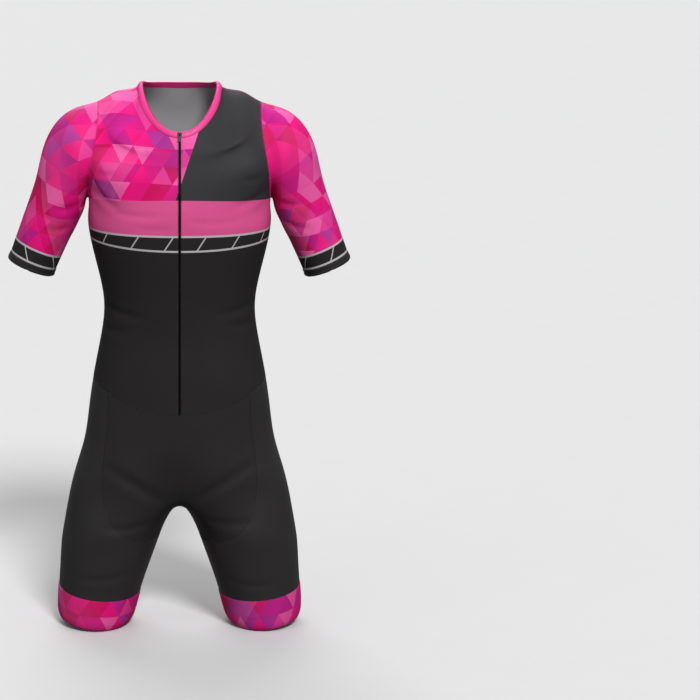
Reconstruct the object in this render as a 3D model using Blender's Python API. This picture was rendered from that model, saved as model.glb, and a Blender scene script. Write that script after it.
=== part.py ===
"""Inline speed skating suit, filled out with no wearer: hollow cloth panels with a zip, in metres, +Z up.

The wearer faces -Y, and +X is the wearer's left. The origin lies between the shoulders, at the height of the
neck's sides. Tables of sections give a coarse cage of four-sided faces. It is smoothed and cut along the
seams, and each panel becomes a closed wall of cloth.
"""

import math

import bmesh
import bpy
import numpy as np
from mathutils import Matrix, Vector

# ---- Driving sizes ----
CLOTH = 0.0015  # thickness of the knitted cloth
SEAM_GAP = 0.0003  # between two pieces at a seam
TRIM_PROUD = 0.0008  # how far the bands, hems and binding stand out of the panels
TRIM_DEPTH = 0.0014  # how far they go in

# The zip. Distances along it run down the centre front from the binding's upper edge.
ZIP_HALF_WIDTH = 0.0024
ZIP_PROUD = 0.0009
ZIP_DEPTH = 0.0013
ZIP_TOP = 0.0045  # where the closed teeth start, just under the slider's post
ZIP_STEP = 0.002  # least distance between two sections of the zip
ZIP_FRONT_Y = -0.05  # the zip lies in front of this
SLIDER_PLACE = 0.0060  # distance of the slider's middle
SLIDER_LENGTH = 0.0090
SLIDER_HALF_WIDTHS = (0.0034, 0.0042)  # at the lower and the upper end
SLIDER_CORNER = 0.0012  # cut off each of its corners
SLIDER_PLATE = 0.0011
SLIDER_FRONT = 0.0016  # room for the teeth and binding in front of the cloth's middle, and behind it
SLIDER_BACK = 0.0021
POST_HALF_WIDTH = 0.0011
POST_SPAN = (0.0018, 0.0040)  # height above the slider's middle
BAIL_HALF_WIDTH = 0.0008
BAIL_REACH = 0.00195  # half length of the bail that holds the pull
BAIL_BAR = 0.0008
BAIL_HEIGHT = 0.0030
PULL_AXIS = 0.00115  # how far the pull's axis stands off the slider's front plate
PULL_HALF_WIDTH = 0.0026
PULL_LENGTH = 0.0135
PULL_THICKNESS = 0.0011
PULL_BAR = 0.0007  # half height of the bar that the bail holds
PULL_WINDOW = (0.00125, 0.0032)  # half width of the window, and its far end from the axis
PULL_CORNERS = (0.0006, 0.0018)  # radii at its upper and its lower end
WINDOW_CORNER = 0.0003
PULL_LEAN = 4.0  # degrees that the hanging pull leans towards the cloth

COLUMNS = 24  # points round the body: 0 is the centre front, 6 the left side, 12 the centre back
ARM_POINTS = 12  # points round a sleeve
LEG_POINTS = 16  # points round a leg
SMOOTHING = 1  # times that each face of the cage is divided by four
FITTING_ROUNDS = 8  # rounds that bring the smoothed surface back onto the sections
NEAR_SHARE = 0.3  # a point this near to a seam, as a share of an edge, moves onto it
SEAM_EVENNESS = 0.25  # least cosine that widens a seam's gap in a sharp crease
WALL_EVENNESS = 0.6  # least cosine that keeps the wall's thickness in a sharp crease
CORNER_SPREAD = 0.35  # least cosine at the corner of a panel

# ---- Sections of the body below the arms ----
# z, half width, y of the front and the back, exponent of the rounded section, groove at the centre
BODY = (
    (-0.205, 0.1615, -0.122, 0.110, 2.35, 0.000),
    (-0.245, 0.1625, -0.124, 0.107, 2.35, 0.000),
    (-0.300, 0.1530, -0.119, 0.098, 2.30, 0.000),
    (-0.355, 0.1400, -0.111, 0.087, 2.25, 0.000),
    (-0.405, 0.1345, -0.106, 0.081, 2.20, 0.000),
    (-0.460, 0.1415, -0.104, 0.085, 2.20, 0.000),
    (-0.520, 0.1530, -0.105, 0.098, 2.25, 0.000),
    (-0.580, 0.1620, -0.105, 0.113, 2.25, 0.000),
    (-0.640, 0.1705, -0.104, 0.122, 2.30, 0.002),
    (-0.695, 0.1860, -0.101, 0.121, 2.45, 0.008),
    (-0.745, 0.1985, -0.096, 0.112, 2.60, 0.022),
)
BODY_FIELDS = ("z", "half_width", "front", "back", "exponent", "groove")
SIDE_Y = -0.004  # y of the widest points of the body

# ---- Arcs across the chest and back, from one armhole to the other, upwards ----
# z and y at the centre front, z and y at the centre back
ARCS = (
    (-0.1690, -0.1150, -0.1420, 0.1110),
    (-0.1470, -0.1095, -0.1080, 0.1070),
    (-0.1250, -0.1030, -0.0750, 0.0985),
    (-0.1040, -0.0960, -0.0440, 0.0865),
)
ARC_FIELDS = ("front_z", "front_y", "back_z", "back_y")
# Columns from the centre to the armhole: share of the chord at the underarm, and at the top
ARC_SHARES = ((0.0, 0.0), (0.326, 0.278), (0.571, 0.465), (0.767, 0.528), (0.911, 0.764), (1.0, 1.0))

# ---- The armhole, from beside the underarm, on the first section, up to the shoulder's tip ----
# x, y, z on the front, then y, z on the back
ARMHOLE = (
    (0.1595, -0.045, -0.192, 0.045, -0.192),
    (0.1570, -0.074, -0.145, 0.078, -0.150),
    (0.1505, -0.071, -0.106, 0.083, -0.110),
    (0.1450, -0.050, -0.072, 0.067, -0.075),
    (0.1435, -0.020, -0.046, 0.039, -0.046),
)
ARMHOLE_FIELDS = ("x", "front_y", "front_z", "back_y", "back_z")
UNDERARM = (0.1600, SIDE_Y, -0.2110)  # a little below the fold between arm and body
SHOULDER_TIP = (0.1440, 0.010, -0.034)
SHOULDER_MIDDLE = (0.1100, 0.012, -0.017)

# ---- The neck seam, from the centre front round to the centre back, and the edge of the binding ----
# x, y, z of the seam, then x, y, z of the edge
NECK = (
    (0.000, -0.0880, -0.0830, 0.0000, -0.0815, -0.0740),
    (0.040, -0.0745, -0.0690, 0.0350, -0.0690, -0.0605),
    (0.067, -0.0370, -0.0360, 0.0580, -0.0330, -0.0285),
    (0.0755, 0.0130, -0.0095, 0.0650, 0.0130, -0.0042),
    (0.0640, 0.0500, -0.0130, 0.0560, 0.0455, -0.0050),
    (0.0370, 0.0690, -0.0170, 0.0330, 0.0640, -0.0075),
    (0.0000, 0.0755, -0.0190, 0.0000, 0.0700, -0.0085),
)

# ---- Sections of a sleeve, from the shoulder to the cuff ----
# x, z of the outer point, x, z of the inner point, half depth, y of the centre
SLEEVE = (
    (0.1860, -0.0460, 0.1645, -0.2050, 0.079, 0.003),
    (0.2210, -0.0750, 0.1690, -0.2230, 0.075, 0.003),
    (0.2420, -0.1180, 0.1770, -0.2420, 0.069, 0.003),
    (0.2545, -0.1700, 0.1870, -0.2630, 0.062, 0.002),
    (0.2740, -0.2280, 0.1985, -0.2850, 0.055, 0.001),
    (0.2997, -0.3007, 0.2206, -0.3340, 0.0485, 0.000),
    (0.3030, -0.3085, 0.2235, -0.3420, 0.048, 0.000),
)
SLEEVE_FIELDS = ("outer_x", "outer_z", "inner_x", "inner_z", "half_depth", "y")

# ---- Sections of a leg, from the crotch to the hem ----
# z, x of the inner and the outer point, y of the front and the back, rise to the outer side and to the back
LEG = (
    (-0.800, 0.0260, 0.2085, -0.090, 0.098, 0.000),
    (-0.838, 0.0410, 0.2140, -0.088, 0.090, 0.001),
    (-0.880, 0.0565, 0.2165, -0.086, 0.082, 0.003),
    (-0.923, 0.0715, 0.2190, -0.083, 0.075, 0.006),
    (-0.979, 0.0870, 0.2215, -0.081, 0.070, 0.006),
)
LEG_FIELDS = ("z", "inner_x", "outer_x", "front", "back", "rise")
# The crotch, from back to front: y, z
CROTCH = ((0.040, -0.762), (0.000, -0.768), (-0.036, -0.763))

# ---- Seams that cross the sections ----
HEM_FRONT_Z = -0.578  # the lower edge of the bodice at the centre front
HEM_BACK_Z = -0.600  # and at the centre back
HEM_SIDE_Z = -0.524  # and at the side seams
HEM_SIDE_X = 0.157
HEM_FRONT_POWER = 2.2
HEM_BACK_POWER = 2.6
BRIEF_TURN = 112.0  # degrees that the centre panels reach round a leg, from its inner side
BRIEF_TOP_Z = -0.600
BRIEF_BOTTOM_Z = -0.826
BRIEF_POWER = 3.2
BRIEF_AXIS_X = 0.098  # the axis that the turn is measured round, at the top
BRIEF_AXIS_SHIFT = 0.030  # how far out it has moved at the bottom

COLOURS = {
    "pink": (0.80, 0.09, 0.33),
    "black": (0.022, 0.021, 0.022),
    "binding": (0.78, 0.05, 0.28),
    "zip": (0.010, 0.010, 0.011),
    "metal": (0.030, 0.030, 0.032),
}


def named_rows(fields, table):
    """Each row of a table as a dictionary."""
    return [dict(zip(fields, row)) for row in table]


def signed_power(value, power):
    return math.copysign(abs(value) ** power, value)


# ---- The cage ----


class Cage:
    """Named points, and four-sided faces that carry the name of their piece."""

    def __init__(self):
        self.index = {}
        self.points = []
        self.faces = []
        self.pieces = []

    def add(self, key, point):
        self.index[key] = len(self.points)
        self.points.append(point)

    def face(self, piece, *keys):
        self.faces.append([self.index[key] for key in keys])
        self.pieces.append(piece)


def body_point(row, column):
    """A point of a rounded section, whose front and back have their own depths."""
    angle = 2 * math.pi * column / COLUMNS
    bend = 2 / row["exponent"]
    x = row["half_width"] * signed_power(math.sin(angle), bend)
    toward_front = signed_power(math.cos(angle), bend)
    reach = (SIDE_Y - row["front"]) if toward_front > 0 else (row["back"] - SIDE_Y)
    groove = row["groove"] * max(0.0, 1 - abs(x) / (0.5 * row["half_width"])) ** 1.5
    return (x, SIDE_Y - toward_front * (reach - groove), row["z"])


def rounding(share, exponent=2.35, reach=0.97):
    """The height of a rounded section over its chord: 1 at the centre and 0 at the end of the chord."""
    end = (1 - reach**exponent) ** (1 / exponent)
    return ((1 - (reach * share) ** exponent) ** (1 / exponent) - end) / (1 - end)


def arc_point(arc, edge, side, share):
    """A point of an arc over the chest or back. Its share is 0 at the centre and 1 at the armhole's edge."""
    z = arc[side + "_z"] + (edge[side + "_z"] - arc[side + "_z"]) * share**2
    y = edge[side + "_y"] + (arc[side + "_y"] - edge[side + "_y"]) * rounding(share)
    return (edge["x"] * share, y, z)


def arc_share(level, step):
    """The columns stand as on the body's sections at the underarm, and spread above it."""
    low, high = ARC_SHARES[step]
    return low + (high - low) * (level / (len(ARCS) + 1)) ** 1.3


def mirrored(point):
    return (-point[0], point[1], point[2])


def body_key(ring, column):
    return ("body", ring, column % COLUMNS)


def add_body(cage):
    """The rings from the underarm to the crotch, then the arcs above them, up to the neck and shoulders."""
    for ring, row in enumerate(named_rows(BODY_FIELDS, BODY)):
        for column in range(COLUMNS):
            cage.add(body_key(ring, column), body_point(row, column))
    half = COLUMNS // 2
    arcs = named_rows(ARC_FIELDS, ARCS)
    edges = named_rows(ARMHOLE_FIELDS, ARMHOLE)
    beside = edges.pop(0)
    for column, side in ((5, "front"), (7, "back")):
        point = (beside["x"], beside[side + "_y"], beside[side + "_z"])
        cage.points[cage.index[body_key(0, column)]] = point
        cage.points[cage.index[body_key(0, -column)]] = mirrored(point)
    cage.points[cage.index[body_key(0, 6)]] = UNDERARM
    cage.points[cage.index[body_key(0, -6)]] = mirrored(UNDERARM)
    for level, (arc, edge) in enumerate(zip(arcs, edges), 1):
        for step in range(len(ARC_SHARES)):
            share = arc_share(level, step)
            front = arc_point(arc, edge, "front", share)
            back = arc_point(arc, edge, "back", share)
            cage.add(body_key(-level, step), front)
            cage.add(body_key(-level, half - step), back)
            if step:
                cage.add(body_key(-level, -step), mirrored(front))
                cage.add(body_key(-level, half + step), mirrored(back))
    top = -len(ARCS) - 1
    for step, row in enumerate(NECK):
        for name, point in (("neck", row[:3]), ("binding", row[3:])):
            cage.add((name, step), point)
            if 0 < step < 6:
                cage.add((name, 12 - step), mirrored(point))
    for name, point in (("middle", SHOULDER_MIDDLE), ("tip", SHOULDER_TIP)):
        cage.add((name, "left"), point)
        cage.add((name, "right"), mirrored(point))
    for column in range(COLUMNS):
        if column % 12 != 6:
            cage.index[body_key(top, column)] = cage.index[top_key(column)]


def top_key(column):
    """The name of the point where a column of the chest or back ends: on the neck seam or at the shoulder."""
    side = "left" if column < 12 else "right"
    from_centre = min(column, 24 - column)  # 0 at the front, 12 at the back
    if from_centre in (4, 8):
        return ("middle", side)
    if from_centre in (5, 7):
        return ("tip", side)
    step = from_centre if from_centre <= 3 else from_centre - 6
    return ("neck", step if side == "left" else (12 - step) % 12)


def add_body_faces(cage):
    last = len(BODY) - 1
    for ring in range(last):
        for column in range(COLUMNS):
            cage.face(
                bodice_piece(column),
                body_key(ring, column),
                body_key(ring + 1, column),
                body_key(ring + 1, column + 1),
                body_key(ring, column + 1),
            )
    for level in range(0, len(ARCS) + 1):
        for column in range(COLUMNS):
            if column % 12 in (5, 6):
                continue
            cage.face(
                bodice_piece(column),
                body_key(-level - 1, column),
                body_key(-level, column),
                body_key(-level, column + 1),
                body_key(-level - 1, column + 1),
            )
    for step in range(12):
        after = (step + 1) % 12
        cage.face("neck_binding", ("neck", step), ("neck", after), ("binding", after), ("binding", step))


def bodice_piece(column):
    if column < 6:
        return "front_left"
    return "back" if column < 18 else "front_right"


def armhole_keys(side):
    """The twelve points of an armhole: underarm, up the front, the shoulder's tip, and down the back."""
    front = [body_key(-level, 5 if side == "left" else -5) for level in range(len(ARMHOLE))]
    back = [body_key(-level, 7 if side == "left" else -7) for level in range(len(ARMHOLE))]
    under = body_key(0, 6 if side == "left" else -6)
    return [under] + front + [("tip", side)] + back[::-1]


def add_sleeve(cage, side):
    sign = 1 if side == "left" else -1
    keys = armhole_keys(side)
    rows = named_rows(SLEEVE_FIELDS, SLEEVE)
    for ring, row in enumerate(rows):
        following = []
        for point in range(ARM_POINTS):
            angle = 2 * math.pi * point / ARM_POINTS  # 0 is the inner side, a quarter turn on is the front
            outward = (1 - math.cos(angle)) / 2
            x = row["inner_x"] + (row["outer_x"] - row["inner_x"]) * outward
            z = row["inner_z"] + (row["outer_z"] - row["inner_z"]) * outward
            y = row["y"] - row["half_depth"] * math.sin(angle)
            cage.add(("sleeve", side, ring, point), (sign * x, y, z))
            following.append(("sleeve", side, ring, point))
        piece = ("sleeve_hem_" if ring == len(rows) - 1 else "sleeve_") + side
        add_band(cage, piece, keys, following, side == "left")
        keys = following


def add_band(cage, piece, upper, lower, turned):
    """Faces between two rings of the same number of points."""
    count = len(upper)
    for point in range(count):
        after = (point + 1) % count
        corners = (upper[point], upper[after], lower[after], lower[point])
        cage.face(piece, *(corners[::-1] if turned else corners))


def add_leg(cage, side):
    sign = 1 if side == "left" else -1
    last = len(BODY) - 1
    upper = [body_key(last, sign * column) for column in range(13)] + [("crotch", step) for step in range(3)]
    rows = named_rows(LEG_FIELDS, LEG)
    for ring, row in enumerate(rows):
        lower = []
        middle_x = (row["inner_x"] + row["outer_x"]) / 2
        half_width = (row["outer_x"] - row["inner_x"]) / 2
        for point in range(LEG_POINTS):
            # 0 is the outer side, and the front is negative
            angle = math.radians(360 / LEG_POINTS) * (point - 6)
            outward, backward = math.cos(angle), math.sin(angle)
            reach = row["back"] if backward > 0 else -row["front"]
            z = row["z"] + row["rise"] * (outward + backward)
            place = (sign * (middle_x + half_width * outward), reach * backward, z)
            cage.add(("leg", side, ring, point), place)
            lower.append(("leg", side, ring, point))
        piece = ("leg_band_" if ring == len(rows) - 1 else "leg_") + side
        add_band(cage, piece, upper, lower, side == "left")
        upper = lower


def make_cage():
    cage = Cage()
    add_body(cage)
    for step, (y, z) in enumerate(CROTCH):
        cage.add(("crotch", step), (0.0, y, z))
    add_body_faces(cage)
    for side in ("left", "right"):
        add_sleeve(cage, side)
        add_leg(cage, side)
    return cage


# ---- Smoothing ----


def smoothed(points, faces, pieces, levels):
    """The subdivided cage: its points, faces, and each face's piece number."""
    mesh = bpy.data.meshes.new("cage")
    mesh.from_pydata([tuple(point) for point in points], [], faces)
    mesh.polygons.foreach_set("material_index", pieces)
    for number in range(max(pieces) + 1):
        mesh.materials.append(None)
    cage = bpy.data.objects.new("cage", mesh)
    bpy.context.scene.collection.objects.link(cage)
    modifier = cage.modifiers.new("smooth", "SUBSURF")
    modifier.levels = modifier.render_levels = levels
    modifier.quality = 4
    graph = bpy.context.evaluated_depsgraph_get()
    result = cage.evaluated_get(graph).to_mesh()
    new_points = np.empty(len(result.vertices) * 3)
    result.vertices.foreach_get("co", new_points)
    new_faces = [tuple(polygon.vertices) for polygon in result.polygons]
    new_pieces = [polygon.material_index for polygon in result.polygons]
    bpy.data.objects.remove(cage)
    bpy.data.meshes.remove(mesh)
    return new_points.reshape(-1, 3), new_faces, new_pieces


def fitted_surface(cage):
    """The smooth surface that passes through the cage's own points."""
    names = sorted(set(cage.pieces))
    numbers = [names.index(piece) for piece in cage.pieces]
    target = np.array(cage.points)
    control = target.copy()
    for _ in range(FITTING_ROUNDS):
        points, _, _ = smoothed(control, cage.faces, numbers, 1)
        control += target - points[: len(target)]
    points, faces, numbers = smoothed(control, cage.faces, numbers, SMOOTHING)
    return points, faces, [names[number] for number in numbers]


# ---- Cutting along a seam ----


def bodice_hem(point):
    """Above 0 in the bodice and below 0 in the shorts."""
    share = min(1.0, abs(point[0]) / HEM_SIDE_X)
    if point[1] < SIDE_Y:
        edge = HEM_FRONT_Z + (HEM_SIDE_Z - HEM_FRONT_Z) * share**HEM_FRONT_POWER
    else:
        edge = HEM_BACK_Z + (HEM_SIDE_Z - HEM_BACK_Z) * share**HEM_BACK_POWER
    return point[2] - edge


def brief_edge(point):
    """Above 0 in the centre panels of the shorts and below 0 in the outer leg panels."""
    drop = max(0.0, BRIEF_TOP_Z - point[2]) / (BRIEF_TOP_Z - BRIEF_BOTTOM_Z)
    axis = BRIEF_AXIS_X + BRIEF_AXIS_SHIFT * drop
    turn = 180 - abs(math.degrees(math.atan2(point[1], abs(point[0]) - axis)))
    return 1 - (turn / BRIEF_TURN) ** BRIEF_POWER - drop**BRIEF_POWER


def crotch_seam(point):
    """Above 0 in the seat and below 0 in the front of the shorts."""
    return point[1]


def cut_along(mesh, field, faces):
    """Divides the faces along the line where the field is 0."""
    verts = {vert for face in faces for vert in face.verts}
    value = {vert: field(vert.co) for vert in verts}
    edges = {edge for face in faces for edge in face.edges}

    def crossing(edge):
        first, second = (value[vert] for vert in edge.verts)
        return first * second < 0

    moves = {}
    for edge in edges:
        if not crossing(edge):
            continue
        first, second = edge.verts
        for vert, other in ((first, second), (second, first)):
            share = value[vert] / (value[vert] - value[other])
            if share < moves.get(vert, (NEAR_SHARE, None))[0]:
                moves[vert] = (share, vert.co.lerp(other.co, share))
    for vert, (_, place) in moves.items():
        vert.co = place
        value[vert] = 0.0
    for edge in sorted(edges, key=lambda edge: edge.index):
        if crossing(edge):
            first, second = edge.verts
            share = value[first] / (value[first] - value[second])
            _, vert = bmesh.utils.edge_split(edge, first, share)
            value[vert] = 0.0
    for face in list(faces):
        on_line = [vert for vert in face.verts if value[vert] == 0.0]
        signs = {value[vert] > 0 for vert in face.verts if value[vert] != 0.0}
        if len(on_line) == 2 and len(signs) == 2:
            bmesh.utils.face_split(face, on_line[0], on_line[1])


def middle_of(face):
    return sum((vert.co for vert in face.verts), Vector()) / len(face.verts)


def cut_seams(mesh, layer, names):
    """Cuts the bodice off the shorts and the centre panels off the legs, and writes each face's piece."""

    def of_pieces(*pieces):
        return [face for face in mesh.faces if names[face[layer]] in pieces]

    mesh.edges.index_update()
    cut_along(mesh, bodice_hem, of_pieces("front_left", "front_right", "back"))
    for face in of_pieces("front_left", "front_right", "back"):
        if bodice_hem(middle_of(face)) < 0:
            side = "left" if middle_of(face).x > 0 else "right"
            face[layer] = names.index("leg_" + side)
    mesh.edges.index_update()
    cut_along(mesh, brief_edge, of_pieces("leg_left", "leg_right"))
    for face in of_pieces("leg_left", "leg_right"):
        if brief_edge(middle_of(face)) > 0:
            face[layer] = names.index("seat")
    mesh.edges.index_update()
    cut_along(mesh, crotch_seam, of_pieces("seat"))
    for face in of_pieces("seat"):
        if crotch_seam(middle_of(face)) < 0:
            face[layer] = names.index("shorts_front")


def on_zip(point):
    return abs(point.x) < 1e-5 and point.y < ZIP_FRONT_Y and bodice_hem(point) > -SEAM_GAP


def open_front(mesh):
    """Parts the cloth along the zip, from the neck to the bodice's lower edge."""
    normals = {tuple(vert.co): vert.normal.copy() for vert in mesh.verts if on_zip(vert.co)}
    line = [edge for edge in mesh.edges if all(on_zip(vert.co) for vert in edge.verts)]
    bmesh.ops.split_edges(mesh, edges=line)
    for vert in mesh.verts:
        if tuple(vert.co) in normals:
            vert.normal = normals[tuple(vert.co)]


# ---- Walls of cloth ----


def inward_moves(faces):
    """For each point on the edge of a panel, the move along the cloth that leaves the seam's gap."""
    inside = set(faces)
    directions = {}
    for face in faces:
        for loop in face.loops:
            if any(other is not face and other in inside for other in loop.edge.link_faces):
                continue
            if len(loop.edge.link_faces) == 1:
                continue
            start, end = loop.vert, loop.link_loop_next.vert
            across = face.normal.cross(end.co - start.co).normalized()
            for vert in (start, end):
                directions.setdefault(vert, []).append(across)
    moves = {}
    for vert, across in directions.items():
        mean = sum(across, Vector()).normalized()
        spread = max(CORNER_SPREAD, min(direction.dot(mean) for direction in across))
        moves[vert] = mean * (SEAM_GAP / 2 / spread / evenness(vert, SEAM_EVENNESS))
    for vert in {vert for face in faces for vert in face.verts if on_zip(vert.co)}:
        side = sum(middle_of(face).x for face in vert.link_faces if face in inside)
        if abs(side) > ZIP_HALF_WIDTH:
            moves.setdefault(vert, Vector()).x = math.copysign(ZIP_HALF_WIDTH + SEAM_GAP, side)
    return moves


def evenness(vert, least):
    """The cosine between a point's normal and its faces: 1 on flat cloth, and less in a sharp crease."""
    return max(least, min(face.normal.dot(vert.normal) for face in vert.link_faces))


def rim(start, end, start_inside, end_inside, start_is_higher):
    """Two triangles across a wall's edge. Both pieces at a seam take the same diagonal."""
    if start_is_higher:
        return [end, start, end_inside], [start, start_inside, end_inside]
    return [end, start, start_inside], [end, start_inside, end_inside]


def wall(name, faces, colour, proud, depth):
    """A closed wall of cloth on the faces: the outer side, the inner side, and the edge between them."""
    moves = inward_moves(faces)
    verts = sorted({vert for face in faces for vert in face.verts}, key=lambda vert: vert.index)
    number = {vert: index for index, vert in enumerate(verts)}
    count = len(verts)
    inside = set(faces)
    places = [vert.co + moves.get(vert, Vector()) for vert in verts]
    across = [vert.normal / evenness(vert, WALL_EVENNESS) for vert in verts]
    points = [place + normal * proud for place, normal in zip(places, across)]
    points += [place - normal * depth for place, normal in zip(places, across)]
    solid = []
    for face in faces:
        ring = [number[vert] for vert in face.verts]
        solid.append(ring)
        solid.append([count + index for index in reversed(ring)])
        for loop in face.loops:
            if any(other is not face and other in inside for other in loop.edge.link_faces):
                continue
            start, end = number[loop.vert], number[loop.link_loop_next.vert]
            start_is_higher = loop.vert.co.z > loop.link_loop_next.vert.co.z
            solid += rim(start, end, count + start, count + end, start_is_higher)
    return add_object(name, points, solid, colour)


def add_object(name, points, faces, colour):
    mesh = bpy.data.meshes.new(name)
    mesh.from_pydata([tuple(point) for point in points], [], faces)
    mesh.materials.append(material(colour))
    mesh.shade_smooth()
    mesh.set_sharp_from_angle(angle=math.radians(50))
    made = bpy.data.objects.new(name, mesh)
    bpy.context.scene.collection.objects.link(made)
    return made


def material(name):
    found = bpy.data.materials.get(name)
    if found:
        return found
    found = bpy.data.materials.new(name)
    found.use_nodes = True
    shader = found.node_tree.nodes["Principled BSDF"]
    shader.inputs["Base Color"].default_value = (*COLOURS[name], 1)
    shader.inputs["Roughness"].default_value = 0.45 if name == "metal" else 0.8
    shader.inputs["Metallic"].default_value = 0.8 if name == "metal" else 0.0
    return found


# ---- The zip ----


def zip_line(mesh):
    """Points and normals down the centre front, from the binding's upper edge to the bodice's lower edge."""
    on_line = {tuple(vert.co): vert.normal.copy() for vert in mesh.verts if on_zip(vert.co)}
    return [(Vector(place), on_line[place]) for place in sorted(on_line, key=lambda place: -place[2])]


def down_line(line, distance):
    """The point and the normal at a distance down the line."""
    for (start, start_normal), (end, end_normal) in zip(line, line[1:]):
        step = (end - start).length
        if distance <= step:
            share = distance / step
            return start.lerp(end, share), start_normal.lerp(end_normal, share).normalized()
        distance -= step
    return line[-1]


def make_zip_chain(line):
    """The closed teeth and the tape's edges as one strip."""
    length = sum((end[0] - start[0]).length for start, end in zip(line, line[1:]))
    distances = [ZIP_TOP]
    travelled = 0.0
    for (start, _), (end, _) in zip(line, line[1:]):
        travelled += (end - start).length
        if ZIP_TOP + ZIP_STEP < travelled < length - ZIP_STEP:
            distances.append(travelled)
    distances.append(length - SEAM_GAP)
    points = []
    for distance in distances:
        place, normal = down_line(line, distance)
        for side, out in ((-1, ZIP_PROUD), (1, ZIP_PROUD), (1, -ZIP_DEPTH), (-1, -ZIP_DEPTH)):
            points.append(place + normal * out + Vector((side * ZIP_HALF_WIDTH, 0, 0)))
    faces = [[0, 1, 2, 3]]
    for station in range(len(distances) - 1):
        for corner in range(4):
            after = (corner + 1) % 4
            first, below = 4 * station, 4 * station + 4
            faces.append([first + after, first + corner, below + corner, below + after])
    last = 4 * (len(distances) - 1)
    faces.append([last + 3, last + 2, last + 1, last])
    add_object("zip_chain", points, faces, "zip")


def extruded(outline, low, high, place):
    """The points and faces of an outline's prism. place turns two outline values and a depth into a point."""
    count = len(outline)
    points = [place(*corner, low) for corner in outline] + [place(*corner, high) for corner in outline]
    faces = [list(range(count))[::-1], list(range(count, 2 * count))]
    faces += [[n, (n + 1) % count, count + (n + 1) % count, count + n] for n in range(count)]
    return points, faces


def tidy_normals(made):
    mesh = bmesh.new()
    mesh.from_mesh(made.data)
    bmesh.ops.recalc_face_normals(mesh, faces=mesh.faces)
    mesh.to_mesh(made.data)
    mesh.free()


def seated(name, outline, low, high, place, seat):
    """A prism in the slider's own frame: x across, y into the body, z up along the zip."""
    made = add_object(name, *extruded(outline, low, high, place), "metal")
    tidy_normals(made)
    made.matrix_world = seat
    return made


def facing(across, up, depth):
    return (across, depth, up)


def sideways(inward, up, depth):
    return (depth, inward, up)


def plate_outline():
    """The slider's plate: wider at the top, with cut corners."""
    half = SLIDER_LENGTH / 2
    low, high = SLIDER_HALF_WIDTHS
    cut = SLIDER_CORNER
    right = [(low - cut, -half), (low, -half + cut), (high, half - 2 * cut), (high - cut, half)]
    return right + [(-x, z) for x, z in reversed(right)]


def make_slider(seat):
    """Two plates joined by a post between the teeth, and the bail on the front plate."""
    front = (-SLIDER_FRONT - SLIDER_PLATE, -SLIDER_FRONT)
    back = (SLIDER_BACK, SLIDER_BACK + SLIDER_PLATE)
    slider = seated("zip_slider", plate_outline(), *front, facing, seat)
    low, high = POST_SPAN
    wide = POST_HALF_WIDTH
    post = [(-wide, low), (wide, low), (wide, high), (-wide, high)]
    foot = front[1] - SLIDER_PLATE / 2
    top = front[0] - BAIL_HEIGHT
    outer = [(foot, -BAIL_REACH), (top + BAIL_BAR, -BAIL_REACH), (top, -BAIL_REACH + BAIL_BAR)]
    inner_reach = BAIL_REACH - BAIL_BAR
    inner = [(foot, -inner_reach), (top + BAIL_BAR, -inner_reach)]
    bail = outer + [(y, -z) for y, z in reversed(outer)] + [(y, -z) for y, z in inner] + inner[::-1]
    helpers = (
        seated("slider_back_plate", plate_outline(), *back, facing, seat),
        seated("slider_post", post, foot, back[0] + SLIDER_PLATE / 2, facing, seat),
        seated("slider_bail", bail, -BAIL_HALF_WIDTH, BAIL_HALF_WIDTH, sideways, seat),
    )
    for helper in reversed(helpers[:2]):
        join(slider, helper)
    join(slider, helpers[2])


def join(base, helper):
    modifier = base.modifiers.new(helper.name, "BOOLEAN")
    modifier.operation = "UNION"
    modifier.object = helper
    helper.hide_render = True
    helper.display_type = "WIRE"


def arc_corner(x, z, radius, start, steps=4):
    """A rounded corner about a centre, a quarter turn on from a start angle in degrees."""
    angles = [math.radians(start + 90 * step / steps) for step in range(steps + 1)]
    return [(x + radius * math.cos(angle), z + radius * math.sin(angle)) for angle in angles]


def rounded_tab(wide, top, bottom, upper, lower):
    """An upright rectangle's outline, with a radius for its upper corners and one for its lower ones."""
    outline = arc_corner(wide - upper, top - upper, upper, 0)
    outline += arc_corner(-wide + upper, top - upper, upper, 90)
    outline += arc_corner(-wide + lower, bottom + lower, lower, 180)
    return outline + arc_corner(wide - lower, bottom + lower, lower, 270)


def make_pull(seat):
    """A flat tab with a window, whose upper bar passes under the bail."""
    hinge = seat @ Matrix.Translation((0, -SLIDER_FRONT - SLIDER_PLATE - PULL_AXIS, 0))
    window_wide, window_end = PULL_WINDOW
    outline = rounded_tab(PULL_HALF_WIDTH, PULL_BAR, -PULL_LENGTH, *PULL_CORNERS)
    window = rounded_tab(window_wide, -PULL_BAR, -window_end, WINDOW_CORNER, WINDOW_CORNER)
    count = len(outline)
    half = PULL_THICKNESS / 2
    points = [(x, y, z) for y in (-half, half) for loop in (outline, window) for x, z in loop]
    faces = []
    for n in range(count):
        after = (n + 1) % count
        front, hole, back, back_hole = (n + count * side for side in range(4))
        front_on, hole_on, back_on, back_hole_on = (after + count * side for side in range(4))
        faces += [[front, front_on, hole_on, hole], [back, back_hole, back_hole_on, back_on]]
        faces += [[front, back, back_on, front_on], [hole, hole_on, back_hole_on, back_hole]]
    pull = add_object("zip_pull", points, faces, "metal")
    tidy_normals(pull)
    pull.matrix_world = hinge @ Matrix.Rotation(math.radians(PULL_LEAN), 4, "X")


def make_zip(line):
    make_zip_chain(line)
    above, _ = down_line(line, SLIDER_PLACE - SLIDER_LENGTH / 2)
    below, _ = down_line(line, SLIDER_PLACE + SLIDER_LENGTH / 2)
    lean = math.atan2(below.y - above.y, above.z - below.z)
    seat = Matrix.Translation((above + below) / 2) @ Matrix.Rotation(lean, 4, "X")
    make_slider(seat)
    make_pull(seat)


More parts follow.
